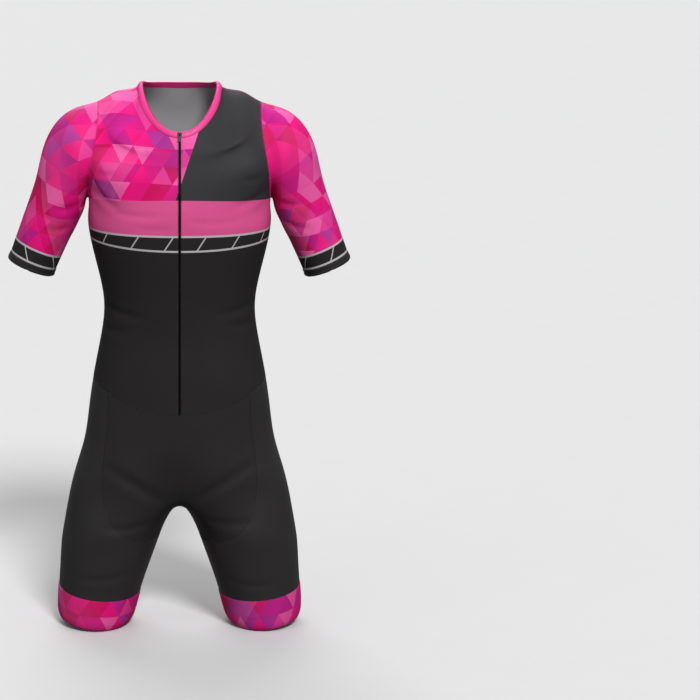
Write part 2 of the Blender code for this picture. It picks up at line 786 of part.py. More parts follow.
# ---- Main ----

PIECES = {  # piece: colour, how far it stands out, and how far it goes in
    "front_left": ("pink", 0.0, CLOTH),
    "front_right": ("pink", 0.0, CLOTH),
    "back": ("pink", 0.0, CLOTH),
    "sleeve_left": ("pink", 0.0, CLOTH),
    "sleeve_right": ("pink", 0.0, CLOTH),
    "sleeve_hem_left": ("black", TRIM_PROUD, TRIM_DEPTH),
    "sleeve_hem_right": ("black", TRIM_PROUD, TRIM_DEPTH),
    "neck_binding": ("binding", TRIM_PROUD, TRIM_DEPTH),
    "shorts_front": ("black", 0.0, CLOTH),
    "seat": ("black", 0.0, CLOTH),
    "leg_left": ("black", 0.0, CLOTH),
    "leg_right": ("black", 0.0, CLOTH),
    "leg_band_left": ("pink", TRIM_PROUD, TRIM_DEPTH),
    "leg_band_right": ("pink", TRIM_PROUD, TRIM_DEPTH),
}


def main():
    for item in list(bpy.data.objects):
        bpy.data.objects.remove(item)
    points, faces, pieces = fitted_surface(make_cage())
    names = list(PIECES)
    mesh = bmesh.new()
    layer = mesh.faces.layers.int.new("piece")
    verts = [mesh.verts.new(point) for point in points]
    for face, piece in zip(faces, pieces):
        mesh.faces.new([verts[index] for index in face])[layer] = names.index(piece)
    mesh.verts.index_update()
    cut_seams(mesh, layer, names)
    mesh.verts.index_update()
    mesh.faces.index_update()
    mesh.normal_update()
    open_front(mesh)
    mesh.verts.index_update()
    for number, (name, (colour, proud, depth)) in enumerate(PIECES.items()):
        own = [face for face in mesh.faces if face[layer] == number]
        wall(name, own, colour, proud, depth)
    make_zip(zip_line(mesh))
    mesh.free()


main()
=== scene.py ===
"""The looks of the inline speed skating suit: printed knit shells, binding, seams, zip, creases and a studio.

Everything is in metres, +Z up. The wearer faces -Y, and +X is the wearer's left. The cloth is made again from
the same sections as its solids, smoother, with soft creases, and each shell replaces its own solid.
"""

import math

import bmesh
import bpy
import numpy as np
from mathutils import Matrix, Vector

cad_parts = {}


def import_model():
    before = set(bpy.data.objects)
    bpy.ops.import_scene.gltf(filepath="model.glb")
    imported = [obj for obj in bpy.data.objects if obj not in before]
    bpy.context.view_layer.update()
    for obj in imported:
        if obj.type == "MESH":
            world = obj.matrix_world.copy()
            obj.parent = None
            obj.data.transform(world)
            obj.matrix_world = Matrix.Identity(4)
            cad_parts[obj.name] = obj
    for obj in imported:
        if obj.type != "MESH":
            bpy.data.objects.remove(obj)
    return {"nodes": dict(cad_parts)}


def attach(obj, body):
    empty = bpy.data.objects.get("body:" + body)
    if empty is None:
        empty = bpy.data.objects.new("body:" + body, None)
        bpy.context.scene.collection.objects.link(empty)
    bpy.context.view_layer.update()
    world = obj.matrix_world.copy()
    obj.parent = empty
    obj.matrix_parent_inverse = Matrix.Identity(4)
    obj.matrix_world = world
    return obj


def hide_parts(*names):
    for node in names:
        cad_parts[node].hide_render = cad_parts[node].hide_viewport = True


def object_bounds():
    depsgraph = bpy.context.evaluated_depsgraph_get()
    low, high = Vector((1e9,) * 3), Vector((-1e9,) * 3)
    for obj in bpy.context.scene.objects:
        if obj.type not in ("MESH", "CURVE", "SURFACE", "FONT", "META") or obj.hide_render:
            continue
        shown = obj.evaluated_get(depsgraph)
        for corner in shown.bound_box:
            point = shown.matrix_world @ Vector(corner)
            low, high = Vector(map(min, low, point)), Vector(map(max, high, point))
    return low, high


# ---- Sizes that the solids have too ----
CLOTH = 0.0015  # thickness of the knitted cloth
SEAM_GAP = 0.0001  # between two pieces at a seam
TRIM_PROUD = 0.0008  # how far the bands, hems and binding stand out of the panels
TRIM_DEPTH = 0.0014  # how far they go in
ZIP_HALF_WIDTH = 0.0024
ZIP_FRONT_Y = -0.05  # the zip lies in front of this
ZIP_TOP = 0.0045  # distance down the zip's line where the closed teeth start

COLUMNS = 24  # points round the body: 0 is the centre front, 6 the left side, 12 the centre back
ARM_POINTS = 12  # points round a sleeve
LEG_POINTS = 16  # points round a leg
FITTING_ROUNDS = 8  # rounds that bring the smoothed surface back onto the sections
SMOOTHING = 4  # times that each face of the cage is divided by four
NEAR_SHARE = 0.3  # a point this near to a seam, as a share of an edge, moves onto it
SEAM_EVENNESS = 0.25  # least cosine that widens a seam's gap in a sharp crease
WALL_EVENNESS = 0.6  # least cosine that keeps the wall's thickness in a sharp crease
CORNER_SPREAD = 0.35  # least cosine at the corner of a panel
EDGE_FLATNESS = 2.2  # thickness of the cloth over how far its rounded free edge stands out
NEAR_MIDDLE = 1e-5  # a point this near to x = 0 lies on the middle line

# ---- Sections of the body below the arms ----
# z, half width, y of the front and the back, exponent of the rounded section, groove at the centre
BODY = (
    (-0.205, 0.1615, -0.122, 0.110, 2.35, 0.000),
    (-0.245, 0.1625, -0.124, 0.107, 2.35, 0.000),
    (-0.300, 0.1530, -0.119, 0.098, 2.30, 0.000),
    (-0.355, 0.1400, -0.111, 0.087, 2.25, 0.000),
    (-0.405, 0.1345, -0.106, 0.081, 2.20, 0.000),
    (-0.460, 0.1415, -0.104, 0.085, 2.20, 0.000),
    (-0.520, 0.1530, -0.105, 0.098, 2.25, 0.000),
    (-0.580, 0.1620, -0.105, 0.113, 2.25, 0.000),
    (-0.640, 0.1705, -0.104, 0.122, 2.30, 0.002),
    (-0.695, 0.1860, -0.101, 0.121, 2.45, 0.008),
    (-0.745, 0.1985, -0.096, 0.112, 2.60, 0.022),
)
BODY_FIELDS = ("z", "half_width", "front", "back", "exponent", "groove")
SIDE_Y = -0.004  # y of the widest points of the body
CHORD_EXPONENT = 2.35  # of the rounded section that the arcs above follow
CHORD_REACH = 0.97  # how far along that section's half width the armhole's edge lies

# ---- Arcs across the chest and back, from one armhole to the other, upwards ----
# z and y at the centre front, z and y at the centre back
ARCS = (
    (-0.1690, -0.1150, -0.1420, 0.1110),
    (-0.1470, -0.1095, -0.1080, 0.1070),
    (-0.1250, -0.1030, -0.0750, 0.0985),
    (-0.1040, -0.0960, -0.0440, 0.0865),
)
ARC_FIELDS = ("front_z", "front_y", "back_z", "back_y")
# Columns from the centre to the armhole: share of the chord at the underarm, and at the top
ARC_SHARES = ((0.0, 0.0), (0.326, 0.278), (0.571, 0.465), (0.767, 0.528), (0.911, 0.764), (1.0, 1.0))
ARC_SPREAD_POWER = 1.3

# ---- The armhole, from beside the underarm, on the first section, up to the shoulder's tip ----
# x, y, z on the front, then y, z on the back
ARMHOLE = (
    (0.1595, -0.045, -0.192, 0.045, -0.192),
    (0.1570, -0.074, -0.145, 0.078, -0.150),
    (0.1505, -0.071, -0.106, 0.083, -0.110),
    (0.1450, -0.050, -0.072, 0.067, -0.075),
    (0.1435, -0.020, -0.046, 0.039, -0.046),
)
ARMHOLE_FIELDS = ("x", "front_y", "front_z", "back_y", "back_z")
UNDERARM = (0.1600, SIDE_Y, -0.2110)  # a little below the fold between arm and body
SHOULDER_TIP = (0.1440, 0.010, -0.034)
SHOULDER_MIDDLE = (0.1100, 0.012, -0.017)

# ---- The neck seam, from the centre front round to the centre back, and the edge of the binding ----
# x, y, z of the seam, then x, y, z of the edge
NECK = (
    (0.000, -0.0880, -0.0830, 0.0000, -0.0815, -0.0740),
    (0.040, -0.0745, -0.0690, 0.0350, -0.0690, -0.0605),
    (0.067, -0.0370, -0.0360, 0.0580, -0.0330, -0.0285),
    (0.0755, 0.0130, -0.0095, 0.0650, 0.0130, -0.0042),
    (0.0640, 0.0500, -0.0130, 0.0560, 0.0455, -0.0050),
    (0.0370, 0.0690, -0.0170, 0.0330, 0.0640, -0.0075),
    (0.0000, 0.0755, -0.0190, 0.0000, 0.0700, -0.0085),
)

# ---- Sections of a sleeve, from the shoulder to the cuff ----
# x, z of the outer point, x, z of the inner point, half depth, y of the centre
SLEEVE = (
    (0.1860, -0.0460, 0.1645, -0.2050, 0.079, 0.003),
    (0.2210, -0.0750, 0.1690, -0.2230, 0.075, 0.003),
    (0.2420, -0.1180, 0.1770, -0.2420, 0.069, 0.003),
    (0.2545, -0.1700, 0.1870, -0.2630, 0.062, 0.002),
    (0.2740, -0.2280, 0.1985, -0.2850, 0.055, 0.001),
    (0.2997, -0.3007, 0.2206, -0.3340, 0.0485, 0.000),
    (0.3030, -0.3085, 0.2235, -0.3420, 0.048, 0.000),
)
SLEEVE_FIELDS = ("outer_x", "outer_z", "inner_x", "inner_z", "half_depth", "y")

# ---- Sections of a leg, from the crotch to the hem ----
# z, x of the inner and the outer point, y of the front and the back, rise to the outer side and to the back
LEG = (
    (-0.800, 0.0260, 0.2085, -0.090, 0.098, 0.000),
    (-0.838, 0.0410, 0.2140, -0.088, 0.090, 0.001),
    (-0.880, 0.0565, 0.2165, -0.086, 0.082, 0.003),
    (-0.923, 0.0715, 0.2190, -0.083, 0.075, 0.006),
    (-0.979, 0.0870, 0.2215, -0.081, 0.070, 0.006),
)
LEG_FIELDS = ("z", "inner_x", "outer_x", "front", "back", "rise")
# The crotch, from back to front: y, z
CROTCH = ((0.040, -0.762), (0.000, -0.768), (-0.036, -0.763))

# ---- Seams that cross the sections ----
HEM_FRONT_Z = -0.578  # the lower edge of the bodice at the centre front
HEM_BACK_Z = -0.600  # and at the centre back
HEM_SIDE_Z = -0.524  # and at the side seams
HEM_SIDE_X = 0.157
HEM_FRONT_POWER = 2.2
HEM_BACK_POWER = 2.6
BRIEF_TURN = 112.0  # degrees that the centre panels reach round a leg, from its inner side
BRIEF_TOP_Z = -0.600
BRIEF_BOTTOM_Z = -0.826
BRIEF_POWER = 3.2
BRIEF_AXIS_X = 0.098  # the axis that the turn is measured round, at the top
BRIEF_AXIS_SHIFT = 0.030  # how far out it has moved at the bottom

# ---- The camera, at the height and distance that give the photo's perspective ----
PHOTO_SIZE = 700  # pixels across and down
CAMERA_DISTANCE = 6.0
CAMERA_HEIGHT = 0.9
CAMERA_TURN = (2.925, 12.963, 0.66)  # degrees to the right, down, and about the view's own axis
FOCAL_PIXELS = 3421.7
SENSOR = 36.0

# ---- The print, in metres ----
# Upper edge of the plain band, upper and lower line of the ladder: z at the centre and at the side
FRONT_BANDS = ((-0.1885, -0.1970), (-0.2520, -0.2520), (-0.2790, -0.2700))
BACK_BANDS = ((-0.1015, -0.1050), (-0.1680, -0.1680), (-0.1965, -0.1960))
CHEST_HALF = 0.160
SLEEVE_BANDS = (0.0262, 0.0026)  # heights of the ladder's lines above the hem seam
# The charcoal block's slanting inner edge: x and z at its upper and lower end
FRONT_BLOCK = ((0.0330, -0.0737), (0.0040, -0.1560))
BACK_BLOCK = ((0.0590, -0.0300), (0.0415, -0.1020))
LADDER_LINE = 0.0036
BACK_LINE_REACH = 0.1525  # where the back's lower line ends, to each side of the middle
LADDER_BAR = 0.0026
BAR_PITCH = 0.060
BODY_BAR = 0.012  # where the first bar stands, across the chest or back
SLEEVE_BAR = 0.048  # and round a sleeve
BAR_SLANT = 0.63  # how far a bar leans over for each metre that it rises
TRIANGLE = 0.036  # edge of a triangle of the mosaic
ROW_RISE = 0.866  # height of a row of triangles, as a share of the edge
OVERLAY = 3.2  # edge of the large faint triangles, in edges of the small ones
OVERLAY_SHIFT = 0.35  # how far across they start, in edges of the small ones
# Of the upper triangles, by a random number: which stand alone, and which join a cell on the right or above
ALONE = 0.34
JOINS_RIGHT = 0.64
JOINS_ABOVE = 0.88
PICK_SEED = 3.0
OVERLAY_SEED = 11.0
TILT_SHARE = 0.42  # how much a triangle's colour shades across it
# The large triangles: a random number below and above which they show, and how strongly
PURPLE_BELOW, PURPLE_SHARE = 0.30, 0.24
PALE_ABOVE, PALE_SHARE = 0.66, 0.18
PRINT_ROUGHNESS = 0.5

# ---- The knit, the tape, and the unevenness of every surface ----
WALE = 0.0010  # from one column of loops to the next
COURSE = 0.0008
COURSE_SHARE = 0.35  # how high the courses stand beside the columns
KNIT_DEPTH = 0.00005
KNIT_STRENGTH = 0.6
TWILL_PITCH = 0.0007
TWILL_DEPTH = 0.00008
PATCHES = 9.0  # scale of the soft patches
PATCH_SHARE = 2.2
GRAIN = 420.0
GRAIN_SHARE = 1.4
SHEEN_ROUGHNESS = 0.45
EDGE_SHADE_POWER = 2.5  # how closely the binding's painted shade keeps to its edges
# how dark the painted shade at the binding's edges grows
EDGE_SHADE_SHARE = 0.8

# ---- Colours, as red, green and blue from 0 to 255 ----
PALETTE = (  # share of the triangles up to here, colour
    (0.00, (240, 24, 128)),
    (0.22, (224, 28, 132)),
    (0.36, (250, 98, 172)),
    (0.54, (240, 66, 152)),
    (0.68, (214, 22, 98)),
    (0.84, (200, 34, 138)),
    (0.93, (180, 52, 150)),
)
OVERLAY_PURPLE = (168, 56, 150)
OVERLAY_PALE = (250, 136, 196)
PLAIN_PINK = (224, 88, 148)
CHARCOAL = (57, 56, 58)
BLACK = (45, 43, 44)
SATIN = (46, 44, 45)
LIGHT_LINE = (196, 192, 194)
BINDING_PINK = (244, 60, 150)
# painted shade for both edges of the rolled binding, where the roll turns away
BINDING_EDGE_SHADE = (196, 16, 96)
BAND_CRIMSON = (150, 14, 78)
BAND_DEPTH = 0.20
BINDING_WIDTH = 0.0120
INSIDE_GREY = (186, 185, 187)
INSIDE_BLACK = (46, 45, 46)
THREAD_PINK = (206, 36, 120)
THREAD_BLACK = (24, 24, 25)
TAPE_BLACK = (16, 16, 17)
TEETH_BLACK = (12, 12, 13)
ENAMEL = (46, 46, 49)
FLOOR = (212, 212, 213)
BEYOND = (228, 228, 229)  # what shows past the floor

# ---- How far each kind of trim swells, from its seam (0) to its free edge (1) ----
TRIM_SHAPES = {
    "neck_binding": ((0.0, 0.0), (0.2, 0.0007), (0.5, 0.0012), (0.8, 0.0007), (1.0, -0.0002)),
    "sleeve_hem": ((0.0, 0.0), (0.25, 0.0004), (0.6, 0.0005), (0.85, 0.0), (1.0, -0.0012)),
    "leg_band": ((0.0, 0.0), (0.12, 0.0006), (0.5, 0.0010), (0.76, 0.0004), (0.88, -0.0010), (1.0, -0.0040)),
}

# ---- Stitches ----
NEEDLE_OFFSET = 0.0016  # from the seam to a row of stitches
STITCH_PITCH = 0.0025
STITCH_LENGTH = 0.0019
STITCH_SHOULDERS = (0.22, 0.78)  # where a stitch is at its full width, along its length
STITCH_TRIM = 0.002  # a row starts and ends this far inside its seam
ZIP_STITCH_TRIM = 0.0015
SHORTEST_SEAM = 0.010  # with a row of stitches
PINK_SEAMS_Z = -0.15  # the seams above here are sewn in pink, and the sleeves' too
THREAD_RADIUS = 0.00018
THREAD_LIFT = 0.4  # how far a stitch's middle lies over the cloth, in radii
LOOPER_RADIUS = 0.00012

# ---- The zip ----
TOOTH_PITCH = 0.00125
TOOTH_TURNS = ((-1, 0.25), (1, 0.75))  # side, and where its tooth lies, as a share of the pitch
TOOTH_REACH = (-0.0004, 0.0017)  # across the zip, from the middle line
TOOTH_RADIUS = 0.00042
TOOTH_HEIGHT = 0.00050
TAPE_FRONT = 0.0001  # how far the tape lies in front of the cloth's middle, and behind it
TAPE_BACK = 0.0012
TAPE_SECTIONS = 120
ZIP_VALLEY = 0.0003  # half width and depth of the valley along the tape's middle
TOOTH_STATIONS = 5  # rings of points along a tooth
TOOTH_SIDES = 6
TOOTH_END = 0.12  # share of a full rounded bar that a tooth lacks at each end
TOOTH_FLATNESS = 0.72
METAL_EDGES = (("zip_slider", 0.00025), ("zip_pull", 0.0002))  # the width of the softened edges
METAL_SEGMENTS = 3
METAL_ANGLE = 35  # least angle in degrees of an edge that is softened

# ---- Cut sizes ----
STRETCH = 1.08  # how much longer and wider the worn cloth is than its cut
PANEL_ROUNDING = 1.3  # how much longer the panels of the shorts are than the height that they span
LEAST_FILL = 0.35  # of a developed box that a piece's own size is read from


def named_rows(fields, table):
    """Each row of a table as a dictionary."""
    return [dict(zip(fields, row)) for row in table]


def signed_power(value, power):
    return math.copysign(abs(value) ** power, value)


def distance(first, second):
    return (Vector(first) - Vector(second)).length


# ---- The cage ----


class Cage:
    """Named points, and four-sided faces with the name of their piece and their place on its flat cut."""

    def __init__(self):
        self.index = {}
        self.points = []
        self.faces = []
        self.pieces = []
        self.cuts = []

    def add(self, key, point):
        self.index[key] = len(self.points)
        self.points.append(point)

    def at(self, key):
        return self.points[self.index[key]]

    def face(self, piece, corners):
        """corners is a list of pairs: a point's name, and its place on the flat cut."""
        self.faces.append([self.index[key] for key, _ in corners])
        self.cuts.extend(cut for _, cut in corners)
        self.pieces.append(piece)


def body_point(row, column):
    """A point of a rounded section, whose front and back have their own depths."""
    angle = 2 * math.pi * column / COLUMNS
    bend = 2 / row["exponent"]
    x = row["half_width"] * signed_power(math.sin(angle), bend)
    toward_front = signed_power(math.cos(angle), bend)
    reach = (SIDE_Y - row["front"]) if toward_front > 0 else (row["back"] - SIDE_Y)
    groove = row["groove"] * max(0.0, 1 - abs(x) / (0.5 * row["half_width"])) ** 1.5
    return (x, SIDE_Y - toward_front * (reach - groove), row["z"])


def rounding(share, exponent=CHORD_EXPONENT, reach=CHORD_REACH):
    """The height of a rounded section over its chord: 1 at the centre and 0 at the end of the chord."""
    end = (1 - reach**exponent) ** (1 / exponent)
    return ((1 - (reach * share) ** exponent) ** (1 / exponent) - end) / (1 - end)


def arc_point(arc, edge, side, share):
    """A point of an arc over the chest or back. Its share is 0 at the centre and 1 at the armhole's edge."""
    z = arc[side + "_z"] + (edge[side + "_z"] - arc[side + "_z"]) * share**2
    y = edge[side + "_y"] + (arc[side + "_y"] - edge[side + "_y"]) * rounding(share)
    return (edge["x"] * share, y, z)


def arc_share(level, step):
    """The columns stand as on the body's sections at the underarm, and spread above it."""
    low, high = ARC_SHARES[step]
    return low + (high - low) * (level / (len(ARCS) + 1)) ** ARC_SPREAD_POWER


def mirrored(point):
    return (-point[0], point[1], point[2])


def body_key(ring, column):
    return ("body", ring, column % COLUMNS)


def top_key(column):
    """The name of the point where a column of the chest or back ends: on the neck seam or at the shoulder."""
    side = "left" if column < 12 else "right"
    from_centre = min(column, 24 - column)  # 0 at the front, 12 at the back
    if from_centre in (4, 8):
        return ("middle", side)
    if from_centre in (5, 7):
        return ("tip", side)
    step = from_centre if from_centre <= 3 else from_centre - 6
    return ("neck", step if side == "left" else (12 - step) % 12)


def add_body(cage):
    """The rings from the underarm to the crotch, then the arcs above them, up to the neck and shoulders."""
    for ring, row in enumerate(named_rows(BODY_FIELDS, BODY)):
        for column in range(COLUMNS):
            cage.add(body_key(ring, column), body_point(row, column))
    half = COLUMNS // 2
    edges = named_rows(ARMHOLE_FIELDS, ARMHOLE)
    beside = edges.pop(0)
    for column, side in ((5, "front"), (7, "back")):
        point = (beside["x"], beside[side + "_y"], beside[side + "_z"])
        cage.points[cage.index[body_key(0, column)]] = point
        cage.points[cage.index[body_key(0, -column)]] = mirrored(point)
    cage.points[cage.index[body_key(0, 6)]] = UNDERARM
    cage.points[cage.index[body_key(0, -6)]] = mirrored(UNDERARM)
    for level, (arc, edge) in enumerate(zip(named_rows(ARC_FIELDS, ARCS), edges), 1):
        for step in range(len(ARC_SHARES)):
            share = arc_share(level, step)
            front = arc_point(arc, edge, "front", share)
            back = arc_point(arc, edge, "back", share)
            cage.add(body_key(-level, step), front)
            cage.add(body_key(-level, half - step), back)
            if step:
                cage.add(body_key(-level, -step), mirrored(front))
                cage.add(body_key(-level, half + step), mirrored(back))
    for step, row in enumerate(NECK):
        for name, point in (("neck", row[:3]), ("binding", row[3:])):
            cage.add((name, step), point)
            if 0 < step < 6:
                cage.add((name, 12 - step), mirrored(point))
    for name, point in (("middle", SHOULDER_MIDDLE), ("tip", SHOULDER_TIP)):
        cage.add((name, "left"), point)
        cage.add((name, "right"), mirrored(point))
    for column in range(COLUMNS):
        if column % 12 != 6:
            cage.index[body_key(-len(ARCS) - 1, column)] = cage.index[top_key(column)]


def bodice_piece(column):
    if column < 6:
        return "front_left"
    return "back" if column < 18 else "front_right"


def body_cut(cage, piece, ring, column):
    """Across, from the centre of the front or back, and up the flat cut."""
    centre = 12 if piece == "back" else 24 * (column > 12)
    step = 1 if column > centre else -1
    across = sum(
        distance(cage.at(body_key(ring, place)), cage.at(body_key(ring, place - step)))
        for place in range(column, centre, -step)
    )
    upward = BODY[max(ring, 0)][0]
    for level in range(0, ring, -1):
        upward += distance(cage.at(body_key(level, column)), cage.at(body_key(level - 1, column)))
    return (across * (-step if piece == "back" else step), upward)


def add_body_faces(cage):
    for ring in range(-len(ARCS) - 1, len(BODY) - 1):
        for column in range(COLUMNS):
            if ring < 0 and column % 12 in (5, 6):
                continue
            piece = bodice_piece(column)
            places = ((ring, column), (ring + 1, column), (ring + 1, column + 1), (ring, column + 1))
            cage.face(piece, [(body_key(*place), body_cut(cage, piece, *place)) for place in places])
    across = 0.0
    for step in range(12):
        after = (step + 1) % 12
        start = across
        across += distance(cage.at(("neck", step)), cage.at(("neck", after)))
        rise = distance(cage.at(("neck", step)), cage.at(("binding", step)))
        corners = (
            (("neck", step), (start, 0.0)),
            (("neck", after), (across, 0.0)),
            (("binding", after), (across, rise)),
            (("binding", step), (start, rise)),
        )
        cage.face("neck_binding", corners)


def add_tube(cage, rings, pieces, outer, level, turned):
    """Faces down a sleeve or leg. The flat cut runs across from the outer point, and up from a ring."""
    count = len(rings[0])

    def cut(ring, point):
        step = 1 if point > outer else -1
        across = sum(
            distance(cage.at(rings[ring][place % count]), cage.at(rings[ring][(place - step) % count]))
            for place in range(point, outer, -step)
        )
        low, high = sorted((ring, level))
        rise = sum(
            distance(cage.at(rings[place][point % count]), cage.at(rings[place + 1][point % count]))
            for place in range(low, high)
        )
        return (across * step, rise if ring < level else -rise)

    for ring, piece in enumerate(pieces):
        for point in range(outer - count // 2, outer + count // 2):
            places = ((ring, point), (ring, point + 1), (ring + 1, point + 1), (ring + 1, point))
            corners = [(rings[place][at % count], cut(place, at)) for place, at in places]
            cage.face(piece, corners[::-1] if turned else corners)


def armhole_keys(side):
    """The twelve points of an armhole: underarm, up the front, the shoulder's tip, and down the back."""
    front = [body_key(-level, 5 if side == "left" else -5) for level in range(len(ARMHOLE))]
    back = [body_key(-level, 7 if side == "left" else -7) for level in range(len(ARMHOLE))]
    under = body_key(0, 6 if side == "left" else -6)
    return [under] + front + [("tip", side)] + back[::-1]


def add_sleeve(cage, side):
    sign = 1 if side == "left" else -1
    rings = [armhole_keys(side)]
    for ring, row in enumerate(named_rows(SLEEVE_FIELDS, SLEEVE)):
        rings.append([])
        for point in range(ARM_POINTS):
            angle = 2 * math.pi * point / ARM_POINTS  # 0 is the inner side, a quarter turn on is the front
            outward = (1 - math.cos(angle)) / 2
            x = row["inner_x"] + (row["outer_x"] - row["inner_x"]) * outward
            z = row["inner_z"] + (row["outer_z"] - row["inner_z"]) * outward
            y = row["y"] - row["half_depth"] * math.sin(angle)
            cage.add(("sleeve", side, ring, point), (sign * x, y, z))
            rings[-1].append(("sleeve", side, ring, point))
    pieces = ["sleeve_" + side] * (len(SLEEVE) - 1) + ["sleeve_hem_" + side]
    add_tube(cage, rings, pieces, ARM_POINTS // 2, len(SLEEVE) - 1, side == "left")


def add_leg(cage, side):
    sign = 1 if side == "left" else -1
    last = len(BODY) - 1
    top = [body_key(last, sign * column) for column in range(COLUMNS // 2 + 1)]
    rings = [top + [("crotch", step) for step in range(len(CROTCH))]]
    for ring, row in enumerate(named_rows(LEG_FIELDS, LEG)):
        rings.append([])
        middle_x = (row["inner_x"] + row["outer_x"]) / 2
        half_width = (row["outer_x"] - row["inner_x"]) / 2
        for point in range(LEG_POINTS):
            # 0 is the outer side, and the front is negative
            angle = math.radians(360 / LEG_POINTS) * (point - 6)
            outward, backward = math.cos(angle), math.sin(angle)
            reach = row["back"] if backward > 0 else -row["front"]
            x = sign * (middle_x + half_width * outward)
            z = row["z"] + row["rise"] * (outward + backward)
            cage.add(("leg", side, ring, point), (x, reach * backward, z))
            rings[-1].append(("leg", side, ring, point))
    pieces = ["leg_" + side] * (len(LEG) - 1) + ["leg_band_" + side]
    add_tube(cage, rings, pieces, 6, len(LEG) - 1, side == "left")


def make_cage():
    cage = Cage()
    add_body(cage)
    for step, (y, z) in enumerate(CROTCH):
        cage.add(("crotch", step), (0.0, y, z))
    add_body_faces(cage)
    for side in ("left", "right"):
        add_sleeve(cage, side)
        add_leg(cage, side)
    return cage


# ---- Smoothing ----


def smoothed(points, cage, numbers, levels):
    """The subdivided cage as a mesh. Its faces keep their piece's number and their place on the flat cut."""
    mesh = bpy.data.meshes.new("cage")
    mesh.from_pydata([tuple(point) for point in points], [], cage.faces)
    mesh.polygons.foreach_set("material_index", numbers)
    for _ in range(max(numbers) + 1):
        mesh.materials.append(None)
    layer = mesh.uv_layers.new(name="cut")
    layer.data.foreach_set("uv", np.array(cage.cuts, np.float32).ravel())
    holder = bpy.data.objects.new("cage", mesh)
    bpy.context.scene.collection.objects.link(holder)
    modifier = holder.modifiers.new("smooth", "SUBSURF")
    modifier.levels = modifier.render_levels = levels
    modifier.quality = 4
    graph = bpy.context.evaluated_depsgraph_get()
    result = bpy.data.meshes.new_from_object(holder.evaluated_get(graph))
    bpy.data.objects.remove(holder)
    bpy.data.meshes.remove(mesh)
    return result


def positions(mesh):
    found = np.empty(len(mesh.vertices) * 3)
    mesh.vertices.foreach_get("co", found)
    return found.reshape(-1, 3)


def fitted_surface(cage, names):
    """The smooth surface that passes through the cage's own points."""
    numbers = [names.index(piece) for piece in cage.pieces]
    target = np.array(cage.points)
    control = target.copy()
    for _ in range(FITTING_ROUNDS):
        control += target - positions(smoothed(control, cage, numbers, 1))[: len(target)]
    return smoothed(control, cage, numbers, SMOOTHING)


# ---- Creases ----

# In millimetres, seen from the front (-1) or the back (1): x and z of a crease's start, middle and end, its
# half width and its depth
CREASES = (
    (-1, 152, -178, 130, -197, 98, -201, 10, 2.1),
    (-1, 146, -149, 130, -158, 109, -155, 8.5, 1.3),
    (-1, -152, -175, -133, -197, -106, -208, 10.5, 2.3),
    (-1, -147, -143, -129, -151, -112, -146, 8, 1.1),
    (-1, 18, -224, 60, -233, 112, -226, 8.5, 0.8),
    (-1, -26, -214, -70, -222, -120, -213, 8, 0.9),
    (-1, -12, -238, -40, -243, -78, -239, 7.5, 0.7),
    (-1, 134, -384, 108, -397, 70, -395, 10.5, 1.6),
    (-1, 137, -421, 112, -425, 88, -419, 9, 1.2),
    (-1, -134, -392, -104, -403, -62, -404, 11, 1.7),
    (-1, -138, -431, -120, -437, -94, -433, 9, 1.1),
    (-1, 28, -742, 74, -707, 136, -671, 14, 2.6),
    (-1, 46, -778, 88, -789, 130, -780, 11, 1.7),
    (-1, -26, -746, -78, -710, -131, -679, 15, 2.8),
    (-1, -50, -784, -86, -797, -136, -791, 11, 1.5),
    (-1, 80, -893, 122, -904, 178, -897, 10, 1),
    (-1, -92, -880, -136, -893, -186, -888, 10.5, 1.1),
    (-1, 172, -202, 196, -211, 222, -205, 9, 1.8),
    (-1, 186, -240, 207, -252, 236, -250, 8.5, 1.4),
    (-1, -172, -206, -193, -219, -218, -216, 9.5, 1.9),
    (-1, -190, -250, -214, -258, -242, -252, 8, 1.2),
    (1, 151, -166, 132, -190, 103, -200, 10.5, 2.1),
    (1, 150, -205, 126, -222, 104, -222, 9, 1.3),
    (1, -152, -170, -130, -193, -107, -199, 10, 2.2),
    (1, -149, -214, -130, -226, -100, -229, 9, 1.2),
    (1, -66, -386, -6, -398, 58, -389, 11.5, 1.8),
    (1, -46, -418, 12, -427, 80, -416, 11, 2.1),
    (1, -78, -449, -20, -455, 34, -447, 10, 1.4),
    (1, 133, -403, 112, -415, 90, -412, 9.5, 1.3),
    (1, -134, -412, -118, -422, -94, -424, 9.5, 1.4),
    (1, 0, -640, 1, -700, 0, -752, 12, 2.4),
    (1, 30, -782, 88, -806, 160, -784, 14, 3),
    (1, -32, -786, -92, -812, -156, -795, 14.5, 3.1),
    (1, 60, -830, 110, -840, 152, -832, 11, 1.4),
    (1, -74, -846, -118, -855, -160, -846, 11, 1.3),
    (1, 84, -888, 128, -899, 184, -890, 10, 1.1),
    (1, -88, -898, -136, -906, -182, -896, 10, 1),
    (1, 174, -196, 199, -212, 226, -214, 9.5, 1.8),
    (1, 190, -246, 214, -258, 240, -256, 8.5, 1.3),
    (1, -173, -200, -195, -214, -221, -211, 9.5, 1.7),
    (1, -188, -242, -211, -253, -238, -250, 8.5, 1.4),
)
CREASE_FIELDS = ("side", "x0", "z0", "x1", "z1", "x2", "z2", "width", "depth")
CREASE_STEPS = 25  # points along a crease
CREASE_ENDS = 0.03  # how far a crease has come up at its first and last point, as a share of its length
CREASE_TAPER = 0.7  # power of the taper towards the ends
RIDGE = 0.9  # how strongly the cloth rises again beside the trough
FACING = 3  # how fast a crease fades where the cloth turns to the side


